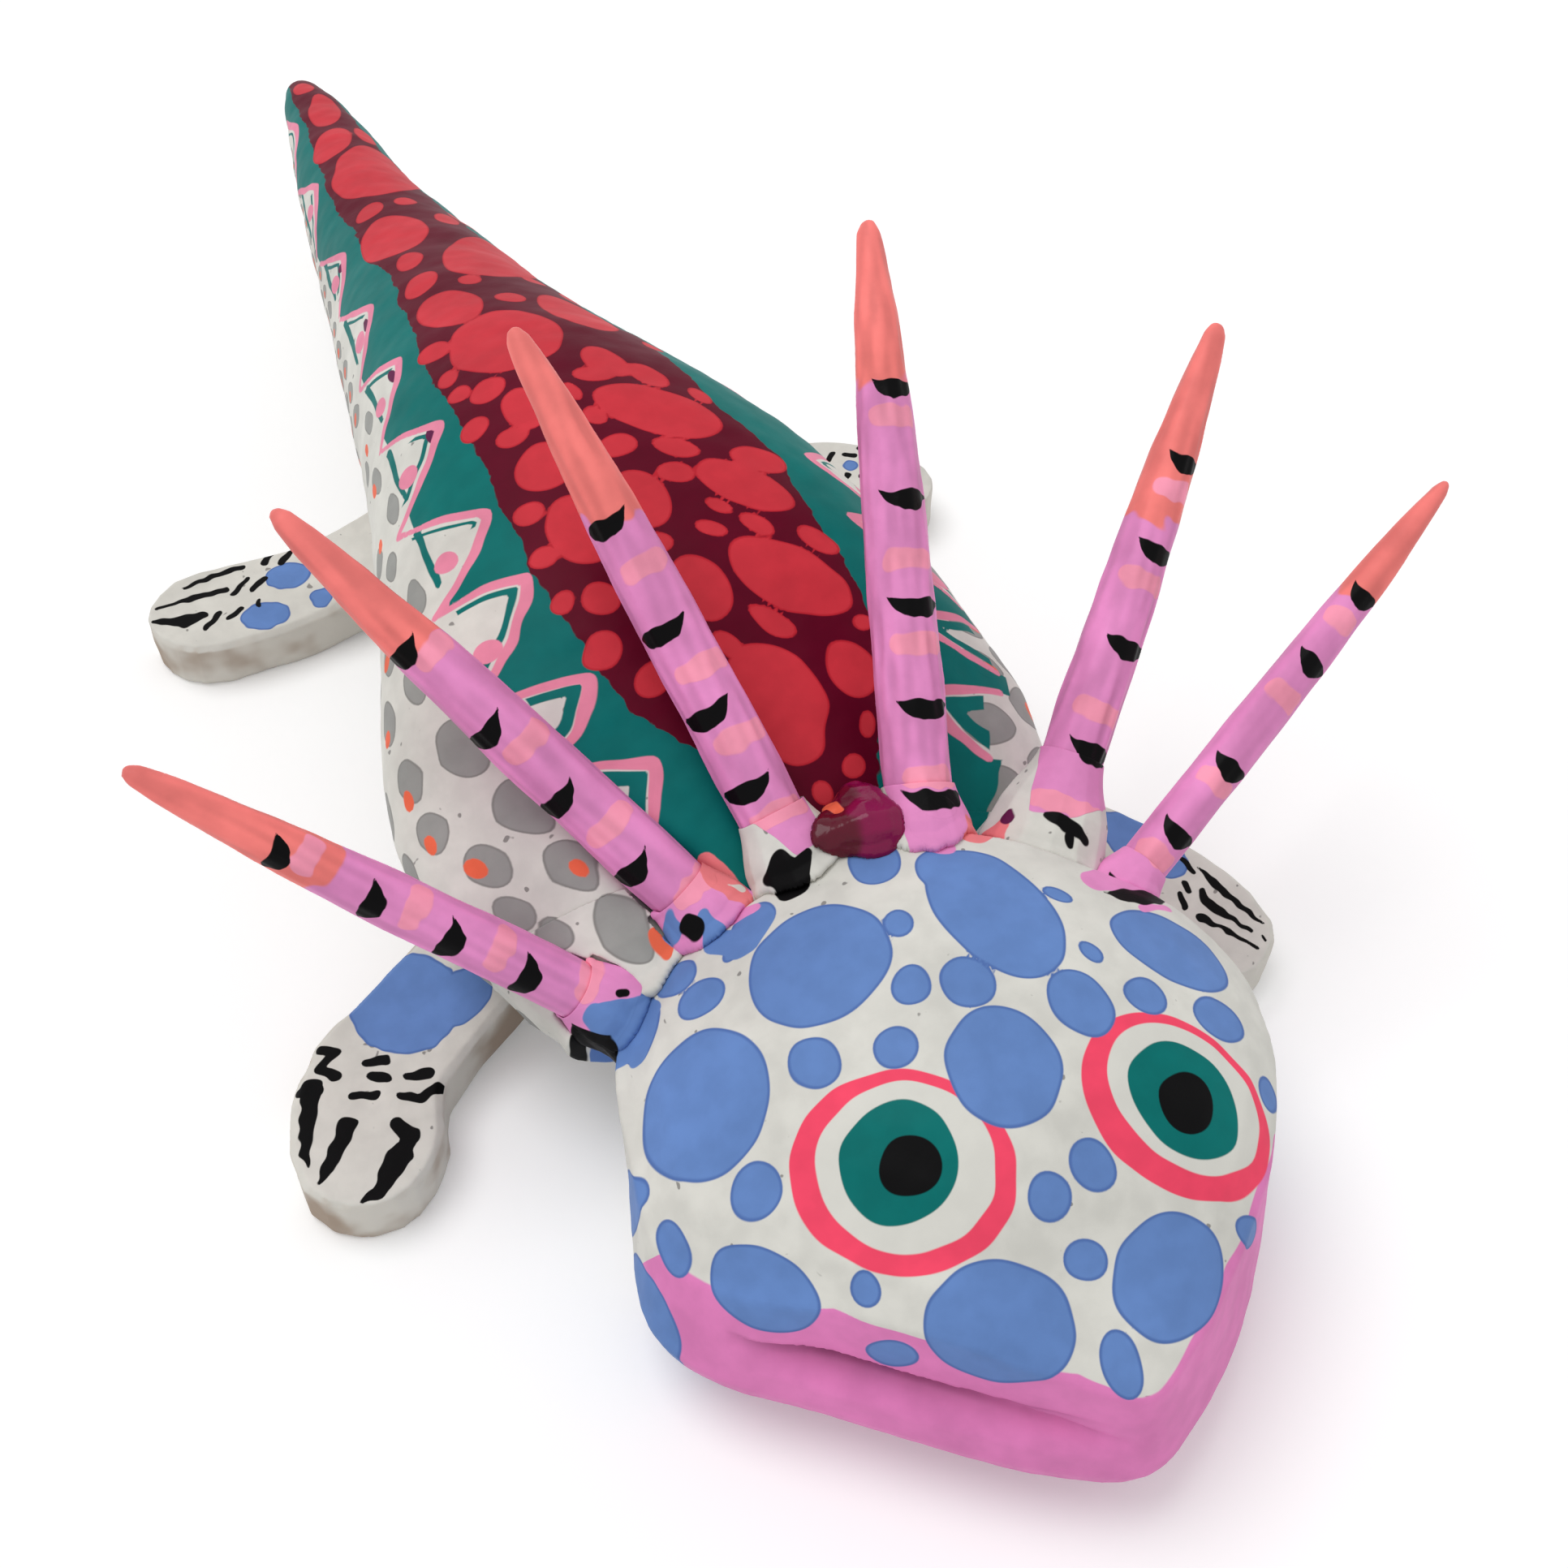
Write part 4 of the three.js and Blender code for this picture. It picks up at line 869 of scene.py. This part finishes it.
class BodyPaint:
    """The painted pattern of body and tail at the points of a surface."""

    def __init__(self, surface):
        self.surface = surface
        along, angle, self.scale = body_coordinates(surface.points)
        self.along = along + surface.stray("along")
        self.angle = angle + surface.stray("round") / self.scale
        self.right_turn = np.interp(self.along, *zip(*RIGHT_TURN))
        self.shapes = {name: np.full(len(along), FAR) for name in TOOTH_SHAPES}

    def mark(self, shape, place, degrees, half_length, half_angle, lean=0):
        turn = self.angle - degrees
        ahead = self.along - place - lean * turn
        return shape(ahead, turn * self.scale, half_length, half_angle * self.scale)

    def marks(self, table, shape=oval):
        return closest(self.mark(shape, *row) for row in table)

    def inside(self, corners, along, angle):
        """Distance from a convex shape whose (along, angle) corners go round it."""
        middle = np.mean(corners, axis=0)
        worst = np.full(len(along), -FAR)
        for (p0, a0), (p1, a1) in zip(corners, np.roll(corners, -1, axis=0)):
            across, forward = (a1 - a0) * self.scale, p0 - p1
            inward = (middle[0] - p0) * across + (middle[1] - a0) * self.scale * forward
            ahead, over = along - p0, (angle - a0) * self.scale
            gap = (ahead * across + over * forward) * -np.sign(inward) / np.hypot(across, forward)
            worst = np.maximum(worst, gap)
        return worst

    def store_edges(self):
        left = np.interp(self.along, *zip(*BACK_EDGE_LEFT))
        right = np.interp(self.along, *zip(*BACK_EDGE_RIGHT))
        back = np.maximum(self.angle - left, -self.angle - right) * self.scale
        self.surface.store("back", back + self.surface.stray("back"))
        edge = np.interp(self.along, *zip(*BAND_EDGE))
        self.band = (np.abs(self.angle) - edge - self.right_turn * (self.angle < 0)) * self.scale

    def add_tooth(self, tooth, along, angle, away):
        """Cuts a petal into the teal band, with its pink line, its marks and the room for its arch."""
        shapes = self.shapes
        (tail, tail_angle), _, (head, head_angle) = tooth["petal"]
        path = petal_line(tooth["petal"])
        shapes["tooth"] = closest([shapes["tooth"], stroke(along, angle, path, self.scale) + away])
        below = [(head, head_angle + PETAL_OPENING), (tail, tail_angle + PETAL_OPENING)]
        petal = self.inside(np.vstack([path[:, :2], below]), along, angle) + away
        self.band = np.maximum(self.band, -petal)
        low, high, outer, inner = tooth["arch"]
        foot = between(tail_angle, head_angle, 0.5) - PETAL_FOOT
        under = (angle - foot - ARCH_DROP) * self.scale
        room = np.maximum(np.maximum(low - along, along - high), under)
        nearer = petal < shapes["petal"]
        found = {"petal": petal, "arch_room": room, "arch_outer": outer, "arch_inner": inner}
        for name, values in found.items():
            shapes[name] = np.where(nearer, values, shapes[name])
        if "bar" in tooth:
            bar = [
                (between(tail, head, share), foot + lower, BAR_HALF_WIDTH * width)
                for share, lower, width in BAR_ENDS
            ]
            crossing = np.maximum(stroke(along, angle, bar, self.scale), under) + away
            self.band = np.minimum(self.band, crossing)
        for name, mark, degrees, half_length, half_angle in tooth.get("marks", []):
            gap = oval(along - mark, (angle - degrees) * self.scale, half_length, half_angle * self.scale)
            shapes[name] = np.minimum(shapes[name], gap + away)

    def store_teeth(self):
        flanks = (
            (self.along, self.angle, self.angle > 0),
            (self.along - RIGHT_SHIFT, -self.angle - self.right_turn, self.angle < 0),
        )
        for along, angle, here in flanks:
            for tooth in TEETH:
                self.add_tooth(tooth, along, angle, np.where(here, 0, FAR))
        for name, values in self.shapes.items():
            self.surface.store(name, values)
        self.surface.store("band", self.band)

    def store(self):
        self.store_edges()
        self.store_teeth()
        leaves, dots = leaf_rows(np.random.default_rng(3))
        self.surface.store("leaf", self.marks(LEFT_LEAVES + leaves, leaf))
        self.surface.store("dot", self.marks(LEFT_DOTS + dots))
        self.surface.store("red", self.marks(RED_SPOTS))


def arch_distance(paint):
    """Nodes for the distance from the teal arches inside the petals."""
    petal = paint.attribute("petal")
    outer = paint.math("ADD", petal, paint.attribute("arch_outer"))
    inward = paint.math("ADD", petal, paint.attribute("arch_inner"))
    inner = paint.math("MULTIPLY", inward, -1.0)
    return paint.math("MAXIMUM", paint.math("MAXIMUM", outer, inner), paint.attribute("arch_room"))


@functools.cache
def body_material():
    paint = Paint("painted_body", WHITE, roughness=0.48)
    paint.specks()
    paint.layer("leaf", GREY, rim=LEAF_RIM, rim_width=0.25)
    paint.layer("dot", ORANGE)
    paint.layer("band", TEAL)
    paint.layer(arch_distance(paint), TEAL)
    paint.layer("purple", PURPLE)
    paint.layer("pink", PINK_LINE)
    paint.layer("tooth", PINK_LINE)
    paint.layer("back", BURGUNDY)
    paint.layer("red", RED, rim=RED_RIM, rim_width=0.25)
    layer_patches(paint)
    return paint.done()


def paint_torso():
    torso = Surface("torso_tail", "body_paint", VOXEL["torso_tail"], 6, relief=0.08, rounded_off=1)
    BodyPaint(torso).store()
    store_patches(torso)
    torso.finish(body_material())


# ---------------------------------------------------------------- gills
def stick_line(number):
    """A gill stick's base and the direction that it points in."""
    base, tip = (np.array(GILLS[number][end]) for end in ("base", "tip"))
    return base, (tip - base) / np.linalg.norm(tip - base)


class GillPaint:
    """The bands of one gill stick at the points of a surface."""

    def __init__(self, surface, number):
        self.surface, self.number, self.gill = surface, number, GILLS[number]
        self.base, self.axis = stick_line(number)
        upward = np.array([0, 0, 1.0]) - self.axis * self.axis[2]
        upward /= np.linalg.norm(upward)
        offset = surface.points - self.base
        self.exact = offset @ self.axis
        self.along = self.exact + surface.stray("gill", number)
        self.high, self.right = offset @ upward, offset @ np.cross(self.axis, upward)
        self.angle = np.degrees(np.arctan2(self.right, self.high))

    def store(self, within_skirt=False):
        """Stores the bands. On a filler they are only where the stick's paint runs down over it."""
        limit = self.skirt() if within_skirt else np.full(len(self.along), -FAR)
        self.surface.store("skirt", limit)
        self.surface.store("black", np.maximum(self.black_bands(), limit))
        self.surface.store("pale", np.maximum(self.pale_bands(), limit))
        ragged = self.surface.stray("coral", self.number)
        lean = CORAL_LEAN * np.cos(np.radians(self.angle))
        self.surface.store("coral", self.gill["coral"] + ragged - lean - self.along)

    def black_bands(self):
        """Crescents: pointed where they start and fullest at the stick's side."""
        turn = (BLACK_SIDE[self.number] * (self.angle - self.gill["start"])) % 360
        turns, sags, widths = zip(*CRESCENT)
        sag, width = np.interp(turn, turns, sags), np.interp(turn, turns, widths)
        bands = closest(
            np.abs(self.along - place + sag - CRESCENT_RISE) - width for place in self.gill["black"]
        )
        trimmed = np.where(turn > turns[-1], FAR, CRESCENT_TRIM)
        return bands + self.surface.stray("black", self.number) + trimmed

    def pale_bands(self):
        gaps = []
        for place, middle in self.gill["pale"]:
            apart = (self.angle - middle + 180) % 360 - 180
            # the cube makes the ends blunt, as the flat brush left them
            blunt = np.abs(np.clip(apart / PALE_HALF_ANGLE, -1.2, 1.2)) ** 3
            gaps.append(np.hypot(self.along - place, blunt) - PALE_HALF_WIDTH)
        return closest(gaps) + self.surface.stray("pale", self.number)

    def streaks(self):
        """Marks of brush and knife along the stick, about -1 to 1."""
        wavelength, stretch = STICK_STREAKS
        place = np.stack([self.high, self.right, self.exact * stretch], axis=1)
        return waviness(place, wavelength, STREAK_SEED + self.number)

    def skirt(self):
        """Distance from the stick's paint where it runs down over the filler at its base."""
        reach, left, right = GILL_SKIRTS[self.number]
        for slope, sideways in ((left, -self.right), (right, self.right)):
            reach = reach + slope * np.maximum(sideways - SKIRT_MIDDLE, 0)
        return reach - self.along


def paint_gill(number):
    stick = Surface(f"gill_{number}", "gill_paint", VOXEL["gill"], 1, relief=0.04)
    paint = GillPaint(stick, number)
    streaks = paint.streaks()
    stick.raise_by(STREAK_HEIGHT * streaks)
    paint.store()
    stick.store("streak", streaks)
    stick.finish(gill_material())


@functools.cache
def gill_material():
    paint = Paint("gill_sticks", ORCHID, roughness=0.4)
    paint.layer("coral", CORAL, soft=0.25)
    paint.layer("pale", PALE_PINK, soft=0.12)
    uneven = paint.ramp(paint.attribute("streak"), *STREAK_SHADES)
    paint.colour = paint.dimmed(paint.colour, uneven)
    paint.layer("black", BLACK, soft=0.06)
    return paint.done(0.0001)


# ---------------------------------------------------------------- legs
def paint_leg(node):
    leg = Surface(node, "leg_paint", VOXEL["leg"], 1, relief=0.10)
    above_floor = np.maximum(leg.points[:, 2], -PAINT_ORIGIN[2])
    leg.place(np.column_stack([leg.points[:, :2], above_floor]))
    x = leg.points[:, 0] + leg.stray("foot_x")
    y = leg.points[:, 1] + leg.stray("foot_y")
    strokes = closest(stroke(x, y, path) for path in FOOT_STROKES[node])
    patches = closest(leaning_oval(x, y, mark) for mark in FOOT_PATCHES[node])
    # only the top face and its cut edge are painted
    top = TOP_FACING - leg.normals[:, 2] + leg.stray("foot_edge")
    leg.store("stroke", np.maximum(strokes, top * MARK_STEEPNESS))
    leg.store("patch", np.maximum(patches, (top - PATCH_OVERLAP) * MARK_STEEPNESS))
    leg.store("side", -top * SIDE_STEEPNESS)
    leg.finish(leg_material())


@functools.cache
def leg_material():
    paint = Paint("leg_planks", LEG_WHITE, roughness=0.6)
    paint.specks()
    cover = paint.ramp(paint.attribute("side"), -0.3, 0.3)
    worn = paint.ramp(paint.blotches, *WORN_LEVELS)
    wood = paint.mix(worn, linear(BARE_WOOD), linear(THIN_WHITE))
    paint.colour = paint.mix(cover, wood, paint.colour)
    paint.layer("patch", BLUE, rim=BLUE_RIM)
    paint.layer("stroke", BLACK, soft=0.05)
    return paint.done(0.0001)


# ---------------------------------------------------------------- filler and glue
def stick_radius(number):
    """Radius of a gill stick just above its filler, mm."""
    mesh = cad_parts[f"gill_{number}"].data
    base, axis = stick_line(number)
    offset = np.array([vertex.co for vertex in mesh.vertices]) / MM - PAINT_ORIGIN - base
    along = offset @ axis
    away = np.linalg.norm(offset - along[:, None] * axis, axis=1)
    low, high = STICK_FOOT
    return np.percentile(away[(along > low) & (along < high)], 80)


def paint_filler(number):
    """A filler cone: thinned out towards the stick, white, with paint of the head and the stick on it."""
    filler = Surface(f"gill_filler_{number}", "filler_white", VOXEL["filler"], 3, relief=0.06, grow=0.1)
    paint = GillPaint(filler, number)
    away = np.hypot(paint.high, paint.right)
    outward = filler.points - paint.base - paint.exact[:, None] * paint.axis
    outward /= np.maximum(away, 0.1)[:, None]
    thinning = FILLER_THINNING * np.clip(paint.exact / paint.exact.max(), 0, 1) ** 1.3
    squeeze = thinning * np.maximum(away - stick_radius(number) - FILLER_RIM, 0)
    filler.place(filler.points - outward * squeeze[:, None])
    filler.meet("head", "neck_filler")
    store_head_spots(filler)
    store_patches(filler)
    paint.store(within_skirt=True)
    filler.finish(filler_material())


@functools.cache
def filler_material():
    paint = Paint("joint_filler", WHITE)
    paint.specks()
    paint.layer("spot", BLUE, rim=BLUE_RIM)
    paint.layer("skirt", ORCHID)
    paint.layer("pale", PALE_PINK)
    layer_patches(paint)
    paint.layer("black", BLACK)
    return paint.done(0.00012)


def paint_collar():
    """The filler round the neck, thinned out towards the body and painted like it."""
    collar = Surface("neck_filler", "filler_paint", VOXEL["neck"], 3, relief=0.05, grow=0.12)
    collar.meet("head")
    places, gaps = collar.nearest("torso_tail")
    start, end = COLLAR_FEATHER
    thinning = np.clip((collar.points[:, 1] - start) / (end - start), 0, 1) * (gaps < FAR)
    collar.place(between(collar.points, places, (COLLAR_THINNING * thinning)[:, None]))
    BodyPaint(collar).store()
    store_patches(collar)
    collar.finish(body_material())


def paint_glue():
    """The glossy lump of coloured glue: burgundy on its left, magenta on its right, with an orange dab."""
    glue = Surface("neck_glue", "coloured_glue", VOXEL["neck"], 3, relief=0.25, grow=0.12)
    glue.meet("gill_3", "gill_4", "gill_filler_3", "gill_filler_4", "head")
    glue.store("dark", glue.points[:, 0] - GLUE_SEAM + glue.stray("seam"))
    glue.store("dab", stroke(glue.points[:, 0], glue.points[:, 1], GLUE_DAB))
    paint = Paint("coloured_glue", MAGENTA, roughness=0.2)
    paint.layer("dark", BURGUNDY, soft=0.6)
    paint.layer("dab", ORANGE)
    paint.shader.inputs["Specular IOR Level"].default_value = GLUE_SHEEN
    glue.finish(paint.done(0.0002))


# ---------------------------------------------------------------- stage, light, camera
FLOOR_SIZE = 6  # m
FLOOR_WHITE = (0.93, 0.93, 0.93, 1)
FLOOR_GLOW = 0.16  # added to the floor where it is looked at, so that it is nearly white
SKY_LIGHT = 0.62
WINDOW_LIGHT = 1.15
WINDOW_WIDTH = 38  # degrees
WINDOW_DIRECTION = (-0.30, 0.25, 1.0)


def seen_directly(tree):
    """1 for rays straight from the camera, off glossy surfaces or through clear ones, else 0."""
    path = tree.nodes.new("ShaderNodeLightPath")
    total = path.outputs["Is Camera Ray"]
    for name in ("Is Glossy Ray", "Is Transmission Ray"):
        add = tree.nodes.new("ShaderNodeMath")
        add.use_clamp = True
        tree.links.new(total, add.inputs[0])
        tree.links.new(path.outputs[name], add.inputs[1])
        total = add.outputs[0]
    return total


def build_stage():
    bpy.ops.mesh.primitive_plane_add(size=FLOOR_SIZE)
    floor = bpy.context.object
    floor.name = "floor"
    material = bpy.data.materials.new("floor")
    material.use_nodes = True
    tree = material.node_tree
    shader = tree.nodes["Principled BSDF"]
    shader.inputs["Base Color"].default_value = FLOOR_WHITE
    shader.inputs["Roughness"].default_value = 1.0
    shader.inputs["Specular IOR Level"].default_value = 0.0
    shader.inputs["Emission Color"].default_value = (1, 1, 1, 1)
    glow = tree.nodes.new("ShaderNodeMath")
    glow.operation = "MULTIPLY"
    glow.inputs[1].default_value = FLOOR_GLOW
    tree.links.new(seen_directly(tree), glow.inputs[0])
    tree.links.new(glow.outputs[0], shader.inputs["Emission Strength"])
    floor.data.materials.append(material)


def build_light():
    world = bpy.data.worlds.new("studio")
    bpy.context.scene.world = world
    world.use_nodes = True
    tree = world.node_tree
    background = tree.nodes["Background"]
    background.inputs["Color"].default_value = (1, 1, 1, 1)
    strength = tree.nodes.new("ShaderNodeMapRange")
    strength.inputs["To Min"].default_value = SKY_LIGHT
    strength.inputs["To Max"].default_value = 1.0
    tree.links.new(seen_directly(tree), strength.inputs["Value"])
    tree.links.new(strength.outputs["Result"], background.inputs["Strength"])
    lamp = bpy.data.lights.new("window", "SUN")
    lamp.energy = WINDOW_LIGHT
    lamp.angle = math.radians(WINDOW_WIDTH)
    sun = bpy.data.objects.new("window", lamp)
    sun.rotation_euler = Vector(WINDOW_DIRECTION).to_track_quat("Z", "Y").to_euler()
    bpy.context.scene.collection.objects.link(sun)


CAMERA_PLACE = (-44.39, -154.32, 161.53)  # mm in the CAD's frame
CAMERA_TARGET = (-3.48, -39.85, 19.21)
CAMERA_ROLL = 1.813  # degrees, picture turned clockwise
CAMERA_LENS, CAMERA_SENSOR = 44.72, 36  # mm
CAMERA_NEAR = 0.005  # m, where its view starts


def build_camera():
    data = bpy.data.cameras.new("camera")
    data.sensor_width = CAMERA_SENSOR
    data.lens = CAMERA_LENS
    data.clip_start = CAMERA_NEAR
    camera = bpy.data.objects.new("camera", data)
    place, target = Vector(CAMERA_PLACE) * MM, Vector(CAMERA_TARGET) * MM
    turn = (target - place).to_track_quat("-Z", "Y")
    camera.rotation_mode = "QUATERNION"
    camera.location = place
    camera.rotation_quaternion = turn @ Quaternion((0, 0, 1), math.radians(CAMERA_ROLL))
    bpy.context.scene.collection.objects.link(camera)
    bpy.context.scene.camera = camera


# ---------------------------------------------------------------- the figure
bpy.context.scene.view_settings.view_transform = "Standard"
build_stage()
build_light()
build_camera()
paint_head()
paint_torso()
for gill_number in GILLS:
    paint_gill(gill_number)
    paint_filler(gill_number)
for leg_node in FOOT_STROKES:
    paint_leg(leg_node)
paint_collar()
paint_glue()
